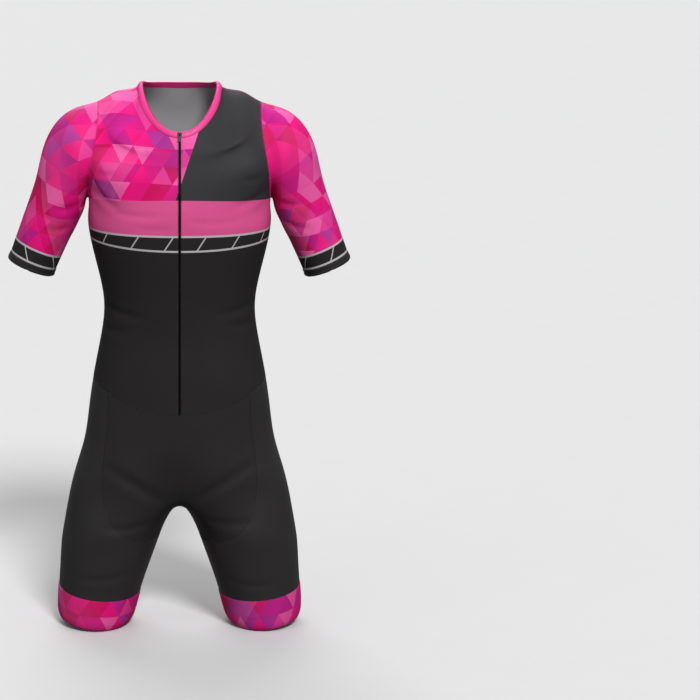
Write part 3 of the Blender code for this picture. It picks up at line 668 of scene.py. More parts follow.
def crease_mesh(mesh):
    """Moves the surface along its normals: a soft trough between two faint ridges along each crease."""
    points = positions(mesh)
    normals = np.array([vertex.normal for vertex in mesh.vertices])
    flat = points[:, [0, 2]]
    steps = np.linspace(0, 1, CREASE_STEPS)
    moves = np.zeros(len(points))
    for row in named_rows(CREASE_FIELDS, CREASES):
        facing = np.clip(normals[:, 1] * row["side"] * FACING, 0, 1)
        start, middle, end = (np.array((row["x" + n], row["z" + n])) / 1000 for n in "012")
        curve = [(1 - t) ** 2 * start + 2 * t * (1 - t) * middle + t**2 * end for t in steps]
        gaps = np.stack([np.hypot(*(flat - place).T) for place in curve])
        along = steps[gaps.argmin(axis=0)] * (1 - 2 * CREASE_ENDS) + CREASE_ENDS
        reach = gaps.min(axis=0) / (row["width"] / 1000)
        taper = np.sin(math.pi * along) ** CREASE_TAPER
        moves -= row["depth"] / 1000 * facing * taper * (1 - RIDGE * reach**2) * np.exp(-(reach**2))
    points += normals * moves[:, None]
    mesh.vertices.foreach_set("co", points.ravel())
    mesh.update()


# ---- Cutting along a seam ----


def bodice_hem(point):
    """Above 0 in the bodice and below 0 in the shorts."""
    share = min(1.0, abs(point[0]) / HEM_SIDE_X)
    if point[1] < SIDE_Y:
        edge = HEM_FRONT_Z + (HEM_SIDE_Z - HEM_FRONT_Z) * share**HEM_FRONT_POWER
    else:
        edge = HEM_BACK_Z + (HEM_SIDE_Z - HEM_BACK_Z) * share**HEM_BACK_POWER
    return point[2] - edge


def brief_edge(point):
    """Above 0 in the centre panels of the shorts and below 0 in the outer leg panels."""
    drop = max(0.0, BRIEF_TOP_Z - point[2]) / (BRIEF_TOP_Z - BRIEF_BOTTOM_Z)
    axis = BRIEF_AXIS_X + BRIEF_AXIS_SHIFT * drop
    turn = 180 - abs(math.degrees(math.atan2(point[1], abs(point[0]) - axis)))
    return 1 - (turn / BRIEF_TURN) ** BRIEF_POWER - drop**BRIEF_POWER


def crotch_seam(point):
    """Above 0 in the seat and below 0 in the front of the shorts."""
    return point[1]


def cut_along(field, faces):
    """Divides the faces along the line where the field is 0."""
    verts = {vert for face in faces for vert in face.verts}
    value = {vert: field(vert.co) for vert in verts}
    edges = {edge for face in faces for edge in face.edges}

    def crossing(edge):
        first, second = (value[vert] for vert in edge.verts)
        return first * second < 0

    moves = {}
    for edge in edges:
        if not crossing(edge):
            continue
        first, second = edge.verts
        for vert, other in ((first, second), (second, first)):
            share = value[vert] / (value[vert] - value[other])
            if share < moves.get(vert, (NEAR_SHARE, None))[0]:
                moves[vert] = (share, vert.co.lerp(other.co, share))
    for vert, (_, place) in moves.items():
        vert.co = place
        value[vert] = 0.0
    for edge in sorted(edges, key=lambda edge: edge.index):
        if crossing(edge):
            first, second = edge.verts
            share = value[first] / (value[first] - value[second])
            _, vert = bmesh.utils.edge_split(edge, first, share)
            value[vert] = 0.0
    for face in list(faces):
        on_line = [vert for vert in face.verts if value[vert] == 0.0]
        signs = {value[vert] > 0 for vert in face.verts if value[vert] != 0.0}
        if len(on_line) == 2 and len(signs) == 2:
            bmesh.utils.face_split(face, on_line[0], on_line[1])


def middle_of(face):
    return sum((vert.co for vert in face.verts), Vector()) / len(face.verts)


# Where the cloth is cut: above 0 or below 0 in a field, some pieces give their faces to another piece
CUTS = (
    (bodice_hem, -1, ("front_left", "front_right", "back"), {"left": "leg_left", "right": "leg_right"}),
    (brief_edge, 1, ("leg_left", "leg_right"), {"left": "seat", "right": "seat"}),
    (crotch_seam, -1, ("seat",), {"left": "shorts_front", "right": "shorts_front"}),
)


def faces_of(mesh, names, pieces):
    return [face for face in mesh.faces if names[face.material_index] in pieces]


def cut_seams(mesh, names):
    """Cuts the bodice off the shorts and the centre panels off the legs, and writes each face's piece."""
    for field, sign, pieces, takers in CUTS:
        mesh.edges.index_update()
        cut_along(field, faces_of(mesh, names, pieces))
        for face in faces_of(mesh, names, pieces):
            middle = middle_of(face)
            if sign * field(middle) > 0:
                face.material_index = names.index(takers["left" if middle.x > 0 else "right"])


def on_middle(point):
    return abs(point.x) < NEAR_MIDDLE


def on_zip(point):
    return on_middle(point) and point.y < ZIP_FRONT_Y and bodice_hem(point) > -SEAM_GAP


def open_front(mesh):
    """Parts the cloth along the zip, from the neck to the bodice's lower edge."""
    normals = {tuple(vert.co): vert.normal.copy() for vert in mesh.verts if on_zip(vert.co)}
    line = [edge for edge in mesh.edges if all(on_zip(vert.co) for vert in edge.verts)]
    bmesh.ops.split_edges(mesh, edges=line)
    for vert in mesh.verts:
        if tuple(vert.co) in normals:
            vert.normal = normals[tuple(vert.co)]


# ---- Shells of cloth ----


def inward_moves(faces):
    """For each point on the edge of a panel, the move along the cloth that leaves the seam's gap."""
    inside = set(faces)
    directions = {}
    for face in faces:
        for loop in face.loops:
            if any(other is not face and other in inside for other in loop.edge.link_faces):
                continue
            if len(loop.edge.link_faces) == 1:
                continue
            start, end = loop.vert, loop.link_loop_next.vert
            across = face.normal.cross(end.co - start.co).normalized()
            for vert in (start, end):
                directions.setdefault(vert, []).append(across)
    moves = {}
    for vert, across in directions.items():
        mean = sum(across, Vector()).normalized()
        spread = max(CORNER_SPREAD, min(direction.dot(mean) for direction in across))
        moves[vert] = mean * (SEAM_GAP / 2 / spread / evenness(vert, SEAM_EVENNESS))
    for vert in {vert for face in faces for vert in face.verts if on_zip(vert.co)}:
        side = sum(middle_of(face).x for face in vert.link_faces if face in inside)
        if abs(side) > ZIP_HALF_WIDTH:
            moves.setdefault(vert, Vector()).x = math.copysign(ZIP_HALF_WIDTH + SEAM_GAP, side)
    return moves


def evenness(vert, least):
    """The cosine between a point's normal and its faces: 1 on flat cloth, and less in a sharp crease."""
    return max(least, min(face.normal.dot(vert.normal) for face in vert.link_faces))


def flat_pattern(faces, cut, pattern):
    """Lays a piece out flat with little stretch, turned and moved onto its measured cut, for the print."""
    number, points, solid, measured = {}, [], [], []
    for face in faces:
        ring = []
        for loop in face.loops:
            place = loop[cut].uv
            key = (loop.vert, round(place.x, 5), round(place.y, 5))
            if key not in number:
                number[key] = len(points)
                points.append(loop.vert.co)
                measured.append(complex(*place))
            ring.append(number[key])
        solid.append(ring)
    piece = add_object("pattern", points, solid, [])
    piece.data.uv_layers.new(name="flat")
    bpy.ops.object.select_all(action="DESELECT")
    piece.select_set(True)
    bpy.context.view_layer.objects.active = piece
    bpy.ops.object.mode_set(mode="EDIT")
    bpy.ops.mesh.select_all(action="SELECT")
    bpy.ops.uv.unwrap(method="ANGLE_BASED", margin=0.0)
    bpy.ops.object.mode_set(mode="OBJECT")
    spread = np.zeros(len(points), complex)
    for loop, place in zip(piece.data.loops, piece.data.uv_layers["flat"].data):
        spread[loop.vertex_index] = complex(*place.uv)
    whole = sum(polygon.area for polygon in piece.data.polygons)
    bpy.data.objects.remove(piece)
    measured = np.array(measured)
    target = measured - measured.mean()
    best = None
    for turned in (spread, spread.conj()):
        turned = turned - turned.mean()
        factor = (turned.conj() * target).sum() / (abs(turned) ** 2).sum()
        error = (abs(turned * factor - target) ** 2).sum()
        if best is None or error < best[0]:
            best = (error, turned * factor / abs(factor))
    laid = best[1]
    covered = 0.0
    for ring in solid:
        corners = laid[ring]
        covered += 0.5 * abs((corners.conj() * np.roll(corners, -1)).imag.sum())
    laid = laid * math.sqrt(whole / covered) + measured.mean()
    for face, ring in zip(faces, solid):
        for loop, place in zip(face.loops, ring):
            loop[pattern].uv = (laid[place].real, laid[place].imag)


def trim_shape(faces, cut, shape):
    """How far each point of a trim stands out, from its seam (0) to its free edge (1)."""
    rises = {loop.vert: abs(loop[cut].uv.y) for face in faces for loop in face.loops}
    width = max(rises.values())
    steps, heights = zip(*shape)
    return {vert: float(np.interp(rise / width, steps, heights)) for vert, rise in rises.items()}


def shell(name, faces, layers, proud, depth, materials, shape=None):
    """A closed thin shell: the outer side, the inner side, and a rounded edge between them."""
    moves = inward_moves(faces)
    verts = sorted({vert for face in faces for vert in face.verts}, key=lambda vert: vert.index)
    number = {vert: index for index, vert in enumerate(verts)}
    count = len(verts)
    inside = set(faces)
    places = [vert.co + moves.get(vert, Vector()) for vert in verts]
    across = [vert.normal / evenness(vert, WALL_EVENNESS) for vert in verts]
    lifts = trim_shape(faces, layers[0], shape) if shape else {}
    lifted = [lifts.get(vert, 0.0) for vert in verts]
    walls = list(zip(places, across, lifted))
    points = [place + normal * (proud + lift) for place, normal, lift in walls]
    points += [place + normal * (min(lift, 0.0) - depth) for place, normal, lift in walls]
    solid, cuts, sides, crisp = [], [[] for _ in layers], [], set()

    def add(ring, loops, side):
        solid.append(ring)
        for cut, layer in zip(cuts, layers):
            cut.extend(tuple(loop[layer].uv) for loop in loops)
        sides.append(side)

    edge_points = {}

    def edge_point(vert, outward):
        """A point on the rounded edge, half way through the cloth."""
        if vert not in edge_points:
            middle = (points[number[vert]] + points[count + number[vert]]) / 2
            edge_points[vert] = len(points)
            reach = SEAM_GAP / 2 if moves.get(vert) else (proud + depth) / EDGE_FLATNESS
            points.append(middle + outward * reach)
        return edge_points[vert]

    for face in faces:
        ring = [number[vert] for vert in face.verts]
        loops = list(face.loops)
        add(ring, loops, 0)
        add([count + index for index in reversed(ring)], loops[::-1], 1)
    for face in faces:
        for loop in face.loops:
            if any(other is not face and other in inside for other in loop.edge.link_faces):
                continue
            start, end = loop.vert, loop.link_loop_next.vert
            outward = (end.co - start.co).cross(face.normal).normalized()
            loops = [loop.link_loop_next, loop, loop, loop.link_loop_next]
            first, second = number[start], number[end]
            if len(loop.edge.link_faces) > 1:
                crisp |= {frozenset((first, second)), frozenset((count + first, count + second))}
            if moves.get(start) and moves.get(end):
                add([second, first, count + first, count + second], loops, 0)
                continue
            near, far = edge_point(start, outward), edge_point(end, outward)
            add([second, first, near, far], loops, 0)
            add([far, near, count + first, count + second], loops, 0)
    made = add_object(name, points, solid, materials, dict(zip(("cut", "pattern"), cuts)), sides)
    for edge in made.data.edges:
        edge.use_edge_sharp = frozenset(edge.vertices) in crisp
    return made


def add_object(name, points, faces, materials, cuts=None, sides=None):
    mesh = bpy.data.meshes.new(name)
    mesh.from_pydata([tuple(point) for point in points], [], faces)
    for material in materials:
        mesh.materials.append(material)
    for layer, places in (cuts or {}).items():
        mesh.uv_layers.new(name=layer).data.foreach_set("uv", np.array(places, np.float32).ravel())
    if sides:
        mesh.polygons.foreach_set("material_index", sides)
    mesh.shade_smooth()
    made = bpy.data.objects.new(name, mesh)
    bpy.context.scene.collection.objects.link(made)
    return made


def trim_profile(piece):
    """How a trim swells, or None for a panel."""
    return next((profile for kind, profile in TRIM_SHAPES.items() if piece.startswith(kind)), None)


def band_heights(point, bands):
    """How far a point lies above each edge of the printed bands."""
    toward_side = (point[0] / CHEST_HALF) ** 2
    return [point[2] - centre - (side - centre) * toward_side for centre, side in bands]


def hem_heights(points, verts, hem, bands):
    """How far each point of a sleeve lies above each line of its ladder, square to the hem seam's plane."""
    at_seam = [vert for vert in verts if any(face.material_index == hem for face in vert.link_faces)]
    seam = np.array([vert.co for vert in at_seam])
    centre = seam.mean(axis=0)
    square = np.linalg.svd(seam - centre)[2][2]
    square *= math.copysign(1.0, square[2])
    return [[(point - centre) @ square - height for height in (bands[0], *bands)] for point in points]


def block_field(point, edge):
    """Above 0 on the wearer's left of the charcoal block's slanting edge."""
    (upper_x, upper_z), (lower_x, lower_z) = edge
    share = (point[2] - lower_z) / (upper_z - lower_z)
    return point[0] - lower_x - (upper_x - lower_x) * share


def write_print(made, heights, blocks):
    """Writes where the print's bands and block lie, for the material to read."""
    attribute = made.data.attributes.new("bands", "FLOAT_VECTOR", "POINT")
    attribute.data.foreach_set("vector", np.array(heights).ravel())
    attribute = made.data.attributes.new("block", "FLOAT", "POINT")
    attribute.data.foreach_set("value", np.array(blocks))


# ---- Materials ----


def linear(colour):
    """A colour from 0 to 255 as the shader takes it."""
    shares = [value / 255 for value in colour]
    light = [share / 12.92 if share < 0.04045 else ((share + 0.055) / 1.055) ** 2.4 for share in shares]
    return (*light, 1.0)


class Value:
    """A node's output. Its sums, products and comparisons are math nodes."""

    def __init__(self, graph, socket):
        self.graph = graph
        self.socket = socket

    def __add__(self, other):
        return self.graph.math("ADD", self, other)

    def __sub__(self, other):
        return self.graph.math("SUBTRACT", self, other)

    def __mul__(self, other):
        return self.graph.math("MULTIPLY", self, other)

    def __truediv__(self, other):
        return self.graph.math("DIVIDE", self, other)

    def __lt__(self, other):
        return self.graph.math("LESS_THAN", self, other)

    def __gt__(self, other):
        return self.graph.math("GREATER_THAN", self, other)


class Graph:
    """Short calls that add nodes to a tree and join them."""

    def __init__(self, tree):
        self.tree = tree

    def node(self, kind, *values, **settings):
        """A node with its settings, and its inputs in order: numbers, colours or other nodes' values."""
        made = self.tree.nodes.new(kind)
        for name, value in settings.items():
            setattr(made, name, value)
        for socket, value in zip(made.inputs, values):
            self.feed(value, socket)
        return made

    def feed(self, value, socket):
        if isinstance(value, Value):
            self.tree.links.new(value.socket, socket)
        else:
            socket.default_value = value

    def output(self, which, kind, *values, **settings):
        return Value(self, self.node(kind, *values, **settings).outputs[which])

    def math(self, operation, *values):
        return self.output(0, "ShaderNodeMath", *values, operation=operation)

    def mix(self, share, first, second, blend="MIX"):
        made = self.node("ShaderNodeMix", share, data_type="RGBA", blend_type=blend)
        self.feed(first, made.inputs[6])
        self.feed(second, made.inputs[7])
        return Value(self, made.outputs[2])

    def split(self, value):
        return [Value(self, socket) for socket in self.node("ShaderNodeSeparateXYZ", value).outputs]

    def random(self, x, y, z):
        """An even random number, and a random colour, for each place."""
        where = self.output(0, "ShaderNodeCombineXYZ", x, y, z)
        made = self.node("ShaderNodeTexWhiteNoise", where, noise_dimensions="3D")
        return Value(self, made.outputs["Value"]), Value(self, made.outputs["Color"])

    def ramp(self, place, stops, interpolation="LINEAR"):
        """The colour at a place along a row of stops."""
        made = self.node("ShaderNodeValToRGB", place)
        made.color_ramp.interpolation = interpolation
        elements = made.color_ramp.elements
        while len(elements) < len(stops):
            elements.new(0.5)
        for element, (start, colour) in zip(elements, stops):
            element.position = start
            element.color = colour
        return Value(self, made.outputs[0])


class Material(Graph):
    """A material's tree, with the shader that its colour and its bump go to."""

    def __init__(self, name, roughness, metallic=0.0, sheen=0.0, specular=0.06):
        self.material = bpy.data.materials.new(name)
        self.material.use_nodes = True
        super().__init__(self.material.node_tree)
        self.shader = self.tree.nodes["Principled BSDF"]
        self.shader.inputs["Roughness"].default_value = roughness
        self.shader.inputs["Metallic"].default_value = metallic
        self.shader.inputs["Specular IOR Level"].default_value = specular
        self.shader.inputs["Sheen Weight"].default_value = sheen
        self.shader.inputs["Sheen Roughness"].default_value = SHEEN_ROUGHNESS

    def where(self):
        """The point's place on the suit."""
        return self.output("Object", "ShaderNodeTexCoord")

    def noise(self, scale, detail=2.0):
        made = self.node("ShaderNodeTexNoise", self.where())
        self.feed(scale, made.inputs["Scale"])
        self.feed(detail, made.inputs["Detail"])
        return Value(self, made.outputs[0])

    def place(self, layer):
        """Across and up the flat cloth, in metres: on its measured cut, or on its pattern."""
        return self.split(self.output(0, "ShaderNodeUVMap", uv_map=layer))[:2]

    def attribute(self, name, kind):
        return self.output(kind, "ShaderNodeAttribute", attribute_name=name)

    def wave(self, place, pitch):
        return self.math("SINE", place * (2 * math.pi / pitch))

    def bump(self, height, depth, strength=1.0):
        made = self.node("ShaderNodeBump")
        self.feed(strength, made.inputs["Strength"])
        self.feed(depth, made.inputs["Distance"])
        self.feed(height, made.inputs["Height"])
        self.tree.links.new(made.outputs[0], self.shader.inputs["Normal"])

    def finish(self, colour, amount):
        """The colour, uneven by an amount, with soft patches and a fine grain."""
        soft = (self.noise(PATCHES) - 0.5) * (PATCH_SHARE * amount)
        fine = (self.noise(GRAIN) - 0.5) * (GRAIN_SHARE * amount)
        self.feed(self.mix(1.0, colour, soft + fine + 1.0, "MULTIPLY"), self.shader.inputs["Base Color"])
        return self.material


def knitted(graph, colour, amount=0.10):
    """Finishes a knit: columns of fine loops, crossed by courses that step between them."""
    across, upward = graph.place("pattern")
    ribs = graph.math("ABSOLUTE", graph.wave(across, 2 * WALE))
    courses = graph.wave(upward + ribs * (0.5 * COURSE), COURSE)
    graph.bump(courses * COURSE_SHARE + ribs, KNIT_DEPTH, KNIT_STRENGTH)
    return graph.finish(colour, amount)


def lattice(graph, across, upward, edge):
    """The column and row of a slanted cell, the place in it, and whether that is in its upper triangle."""
    rise = upward / (edge * ROW_RISE)
    run = across / edge - rise * 0.5
    column, row = graph.math("FLOOR", run), graph.math("FLOOR", rise)
    right, up = run - column, rise - row
    return column, row, right, up, (right + up) > 1.0


def mosaic(graph, across, upward, seed):
    """A colour for each triangle, some of them merged with a neighbour, under large faint triangles."""
    column, row, right, up, upper = lattice(graph, across, upward, TRIANGLE)
    choice, _ = graph.random(column, row, seed)
    alone = upper * (choice < ALONE)
    middle, reach = (JOINS_RIGHT + JOINS_ABOVE) / 2, (JOINS_ABOVE - JOINS_RIGHT) / 2
    column += upper * graph.math("COMPARE", choice, middle, reach)
    row += upper * (choice > JOINS_ABOVE)
    pick, slope = graph.random(column, row, alone + (seed + PICK_SEED))
    slope_right, slope_up, _ = graph.split(slope)
    tilt = (right - 0.5) * (slope_right - 0.5) + (up - 0.5) * (slope_up - 0.5)
    colour = graph.ramp(pick, [(start, linear(colour)) for start, colour in PALETTE], "CONSTANT")
    colour = graph.mix(1.0, colour, tilt * TILT_SHARE + 1.0, "MULTIPLY")
    shifted = across + OVERLAY_SHIFT * TRIANGLE
    column, row, right, up, upper = lattice(graph, shifted, upward, OVERLAY * TRIANGLE)
    pick, _ = graph.random(column, row, upper + (seed + OVERLAY_SEED))
    colour = graph.mix((pick < PURPLE_BELOW) * (up * PURPLE_SHARE), colour, linear(OVERLAY_PURPLE))
    return graph.mix((pick > PALE_ABOVE) * (right * PALE_SHARE), colour, linear(OVERLAY_PALE))


def ladder(graph, colour, across, upper, lower, first_bar, reach=None):
    """Black below the upper line, and light lines above and below slanting bars.

    The lower line ends, rounded, at a reach to each side of the suit's middle.
    """
    place = graph.math("PINGPONG", across - upper * BAR_SLANT + first_bar, BAR_PITCH / 2)
    bars = (upper < 0.0) * (lower > 0.0) * (place < LADDER_BAR / 2)
    from_lower = graph.math("ABSOLUTE", lower)
    if reach:
        beyond = graph.math("ABSOLUTE", graph.split(graph.where())[0]) - reach
        beyond = graph.math("MAXIMUM", beyond, 0.0)
        from_lower = graph.math("SQRT", beyond * beyond + lower * lower)
    from_upper = graph.math("ABSOLUTE", upper)
    lines = graph.math("MAXIMUM", from_upper < LADDER_LINE / 2, from_lower < LADDER_LINE / 2)
    colour = graph.mix(upper < 0.0, colour, linear(BLACK))
    return graph.mix(graph.math("MAXIMUM", lines, bars), colour, linear(LIGHT_LINE))


def body_print(name, seed, reach=None):
    """The mosaic and the charcoal block above, then the plain band, the ladder, and black."""
    graph = Material(name, PRINT_ROUGHNESS)
    across, upward = graph.place("pattern")
    above_plain, upper, lower = graph.split(graph.attribute("bands", "Vector"))
    colour = mosaic(graph, across, upward, seed)
    colour = graph.mix(graph.attribute("block", "Fac") > 0.0, colour, linear(CHARCOAL))
    colour = graph.mix(above_plain < 0.0, colour, linear(PLAIN_PINK))
    return knitted(graph, ladder(graph, colour, across, upper, lower, BODY_BAR, reach))


def sleeve_print(name, seed, sign):
    """The mosaic, and the ladder at the cuff, whose bars lean the other way on the other sleeve."""
    graph = Material(name, PRINT_ROUGHNESS)
    colour = mosaic(graph, *graph.place("pattern"), seed)
    _, upper, lower = graph.split(graph.attribute("bands", "Vector"))
    return knitted(graph, ladder(graph, colour, graph.place("cut")[0] * sign, upper, lower, SLEEVE_BAR))


def band_print(name, seed):
    """The mosaic in deeper colours."""
    graph = Material(name, PRINT_ROUGHNESS)
    colour = mosaic(graph, *graph.place("pattern"), seed)
    return knitted(graph, graph.mix(BAND_DEPTH, colour, linear(BAND_CRIMSON)))


def plain_knit(name, colour, roughness=0.44, specular=0.14, amount=0.14):
    return knitted(Material(name, roughness, specular=specular), linear(colour), amount)


def binding_knit(name):
    """The folded binding, with painted shade along both edges of its roll, where it meets the cloth and at
    its free edge.
    """
    graph = Material(name, roughness=0.45, specular=0.35)
    _, upward = graph.place("cut")
    from_middle = graph.math("ABSOLUTE", upward / BINDING_WIDTH - 0.5)
    # painted shade: darker towards both edges of the binding's roll
    rim = graph.math("POWER", from_middle * 2.0, EDGE_SHADE_POWER) * EDGE_SHADE_SHARE
    return knitted(graph, graph.mix(rim, linear(BINDING_PINK), linear(BINDING_EDGE_SHADE)), 0.08)


def twill(name, colour):
    graph = Material(name, roughness=0.75, sheen=0.2)
    x, _, z = graph.split(graph.where())
    graph.bump(graph.wave(x + z, TWILL_PITCH), TWILL_DEPTH)
    return graph.finish(linear(colour), 0.25)


def grained(name, colour, scale, depth, detail=2.0, **finish):
    """Thread, moulded teeth or enamel: one colour with a fine grain."""
    graph = Material(name, **finish)
    graph.bump(graph.noise(scale, detail), depth)
    return graph.finish(linear(colour), 0.3)


def make_materials():
    return {
        "front": body_print("front_print", 1.0),
        "back": body_print("back_print", 41.0, BACK_LINE_REACH),
        "sleeve_left": sleeve_print("sleeve_left_print", 73.0, 1.0),
        "sleeve_right": sleeve_print("sleeve_right_print", 97.0, 1.0),
        "band_left": band_print("leg_band_left_print", 131.0),
        "band_right": band_print("leg_band_right_print", 152.0),
        "black": plain_knit("black_knit", BLACK),
        "satin": plain_knit("satin_knit", SATIN, roughness=0.37, specular=0.26),
        "binding": binding_knit("binding_knit"),
        "grey_inside": plain_knit("grey_inside", INSIDE_GREY, roughness=0.8, amount=0.06),
        "black_inside": plain_knit("black_inside", INSIDE_BLACK, roughness=0.8),
        "pink_thread": grained("pink_thread", THREAD_PINK, 3000.0, 4e-5, 1.0, roughness=0.6, sheen=0.3),
        "black_thread": grained("black_thread", THREAD_BLACK, 3000.0, 4e-5, 1.0, roughness=0.6, sheen=0.3),
        "tape": twill("zip_tape_twill", TAPE_BLACK),
        "teeth": grained("zip_teeth", TEETH_BLACK, 2500.0, 3e-5, roughness=0.4),
        "metal": grained("zip_metal", ENAMEL, 1800.0, 2e-5, roughness=0.34, metallic=0.85),
    }


# ---- Seams ----


class Line:
    """Points along a seam or an edge, with normals, and the pieces on its left and right."""

    def __init__(self, verts, edge_loops, names):
        self.points = [vert.co.copy() for vert in verts]
        self.normals = [vert.normal.copy() for vert in verts]
        self.left = self.right = None
        for loop in edge_loops:
            if loop.vert is verts[0]:
                self.left = names[loop.face.material_index]
            else:
                self.right = names[loop.face.material_index]
        self.reaches = [0.0]
        for start, end in zip(self.points, self.points[1:]):
            self.reaches.append(self.reaches[-1] + (end - start).length)
        self.length = self.reaches[-1]

    def at(self, reach):
        """The point, the normal and the direction to the left, at a distance along the line."""
        number = min(int(np.searchsorted(self.reaches, reach, "right")), len(self.points) - 1)
        start, end = self.points[number - 1], self.points[number]
        before, after = self.reaches[number - 1], self.reaches[number]
        share = (reach - before) / max(after - before, 1e-9)
        normal = self.normals[number - 1].lerp(self.normals[number], share).normalized()
        return start.lerp(end, share), normal, normal.cross(end - start).normalized()


def chained(edges):
    """The edges as runs of points, each from one end to the other."""
    around = {}
    for edge in sorted(edges, key=lambda edge: edge.index):
        for vert in edge.verts:
            around.setdefault(vert, []).append(edge)
    left = set(edges)
    runs = []
    ends = sorted((vert for vert in around if len(around[vert]) != 2), key=lambda vert: vert.index)
    for start in ends + sorted(around, key=lambda vert: vert.index):
        for first in around[start]:
            if first not in left:
                continue
            run, edge, vert = [start], first, start
            while edge is not None:
                left.discard(edge)
                vert = edge.other_vert(vert)
                run.append(vert)
                onward = [other for other in around[vert] if other in left]
                edge = onward[0] if len(around[vert]) == 2 and onward else None
            runs.append((run, first))
    return runs


def seam_lines(mesh, names):
    """The lines between two pieces, and along the free edges, each as a Line."""
    groups = {}
    for edge in mesh.edges:
        numbers = {face.material_index for face in edge.link_faces}
        if len(numbers) == 2 or len(edge.link_faces) == 1:
            groups.setdefault(tuple(sorted(numbers)), []).append(edge)
    runs = [run for key in sorted(groups) for run in chained(groups[key])]
    return [Line(verts, list(first.link_loops), names) for verts, first in runs]


class Thread:
    """Small rounded grains in one mesh: each is a stitch."""

    def __init__(self):
        self.points = []
        self.faces = []

    def grain(self, start, end, normal, radius):
        along = (end - start).normalized()
        side = along.cross(normal).normalized() * radius
        up = side.cross(along).normalized() * radius
        first = len(self.points)
        self.points += [start, end]
        for share in STITCH_SHOULDERS:
            middle = start.lerp(end, share)
            self.points += [middle + side, middle + up, middle - side, middle - up]
        near, far = first + 2, first + 6
        for corner in range(4):
            after = (corner + 1) % 4
            self.faces.append([first, near + after, near + corner])
            self.faces.append([near + corner, near + after, far + after, far + corner])
            self.faces.append([first + 1, far + corner, far + after])

    def row(self, line, offset, lift=0.0, trim=STITCH_TRIM):
        """Stitches beside a line, on its left where the offset is above 0."""
        for start, step in stitches(line, trim):
            ends = []
            for reach in (start + (step - STITCH_LENGTH) / 2, start + (step + STITCH_LENGTH) / 2):
                place, normal, left = line.at(reach)
                ends.append(place + left * offset + normal * (lift + THREAD_LIFT * THREAD_RADIUS))
            self.grain(*ends, normal, THREAD_RADIUS)

    def crossing(self, line):
        """The looper's threads, which go from one row to the other and back."""
        for start, step in stitches(line, STITCH_TRIM):
            for side, reach in ((1, start), (-1, start + step / 2)):
                place, normal, left = line.at(reach)
                onward, _, _ = line.at(min(reach + step / 2, line.length))
                across = left * side * NEEDLE_OFFSET
                high = normal * LOOPER_RADIUS
                self.grain(place + across + high, onward - across + high, normal, LOOPER_RADIUS)


def stitches(line, trim):
    """Where each stitch along a line starts, and how far it is to the next."""
    count = int((line.length - 2 * trim) / STITCH_PITCH)
    step = (line.length - 2 * trim) / count
    return [(trim + number * step, step) for number in range(count)]


def sew(mesh, names, materials):
    """Flatlock threads over the seams between panels, and rows of stitches beside the trims and the zip."""
    threads = {(kind, colour): Thread() for kind in ("seam", "trim") for colour in ("pink", "black")}
    for line in seam_lines(mesh, names):
        pieces = (line.left, line.right)
        if line.length < SHORTEST_SEAM:
            continue
        if None in pieces:
            if on_middle(line.points[0]) and on_middle(line.points[-1]) and "neck_binding" not in pieces:
                offset = (1 if line.left else -1) * (ZIP_HALF_WIDTH + NEEDLE_OFFSET)
                threads["trim", "black"].row(line, offset, trim=ZIP_STITCH_TRIM)
            continue
        trims = [piece for piece in pieces if trim_profile(piece)]
        sleeve = any(piece.startswith("sleeve") for piece in pieces)
        if trims:
            side = 1 if line.left == trims[0] else -1
            threads["trim", "black" if sleeve else "pink"].row(line, side * NEEDLE_OFFSET, TRIM_PROUD)
            continue
        height = sum(point.z for point in line.points) / len(line.points)
        thread = threads["seam", "pink" if height > PINK_SEAMS_Z or sleeve else "black"]
        for side in (1, -1):
            thread.row(line, side * NEEDLE_OFFSET)
        thread.crossing(line)
    for (kind, colour), thread in threads.items():
        name = f"{kind}_threads_{colour}"
        made = add_object(name, thread.points, thread.faces, [materials[colour + "_thread"]])
        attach(made, "suit")


# ---- The zip ----


def zip_line(mesh):
    """Points and normals down the centre front, from the binding's upper edge to the bodice's lower edge."""
    on_line = {tuple(vert.co): vert.normal.copy() for vert in mesh.verts if on_zip(vert.co)}
    return [(Vector(place), on_line[place]) for place in sorted(on_line, key=lambda place: -place[2])]


def down_line(line, reach):
    """The point, the normal and the direction onward at a distance down the line."""
    for (start, start_normal), (end, end_normal) in zip(line, line[1:]):
        step = (end - start).length
        if reach <= step or end is line[-1][0]:
            share = min(reach / step, 1.0)
            normal = start_normal.lerp(end_normal, share).normalized()
            return start.lerp(end, share), normal, (end - start).normalized()
        reach -= step


def ring_faces(first, count):
    """Faces from one ring of points to the next."""
    for corner in range(count):
        after = (corner + 1) % count
        yield [first + after, first + corner, first + count + corner, first + count + after]


def make_tape(line, length, material):
    """The tape's strip, with a shallow valley along the middle."""
    front, back = TAPE_FRONT, -TAPE_BACK
    section = [(-ZIP_HALF_WIDTH, front), (-ZIP_VALLEY, front), (0.0, front - ZIP_VALLEY), (ZIP_VALLEY, front)]
    section += [(ZIP_HALF_WIDTH, front), (ZIP_HALF_WIDTH, back), (-ZIP_HALF_WIDTH, back)]
    count = len(section)
    points, faces = [], []
    for reach in np.linspace(ZIP_TOP, length, TAPE_SECTIONS):
        place, normal, _ = down_line(line, reach)
        if points:
            faces += ring_faces(len(points) - count, count)
        points += [place + normal * out + Vector((x, 0, 0)) for x, out in section]
    ends = [list(range(count)), [len(points) - 1 - corner for corner in range(count)]]
    strip = add_object("zip_tape_strip", points, ends + faces, [material])
    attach(strip, "suit")
    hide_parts("zip_chain")


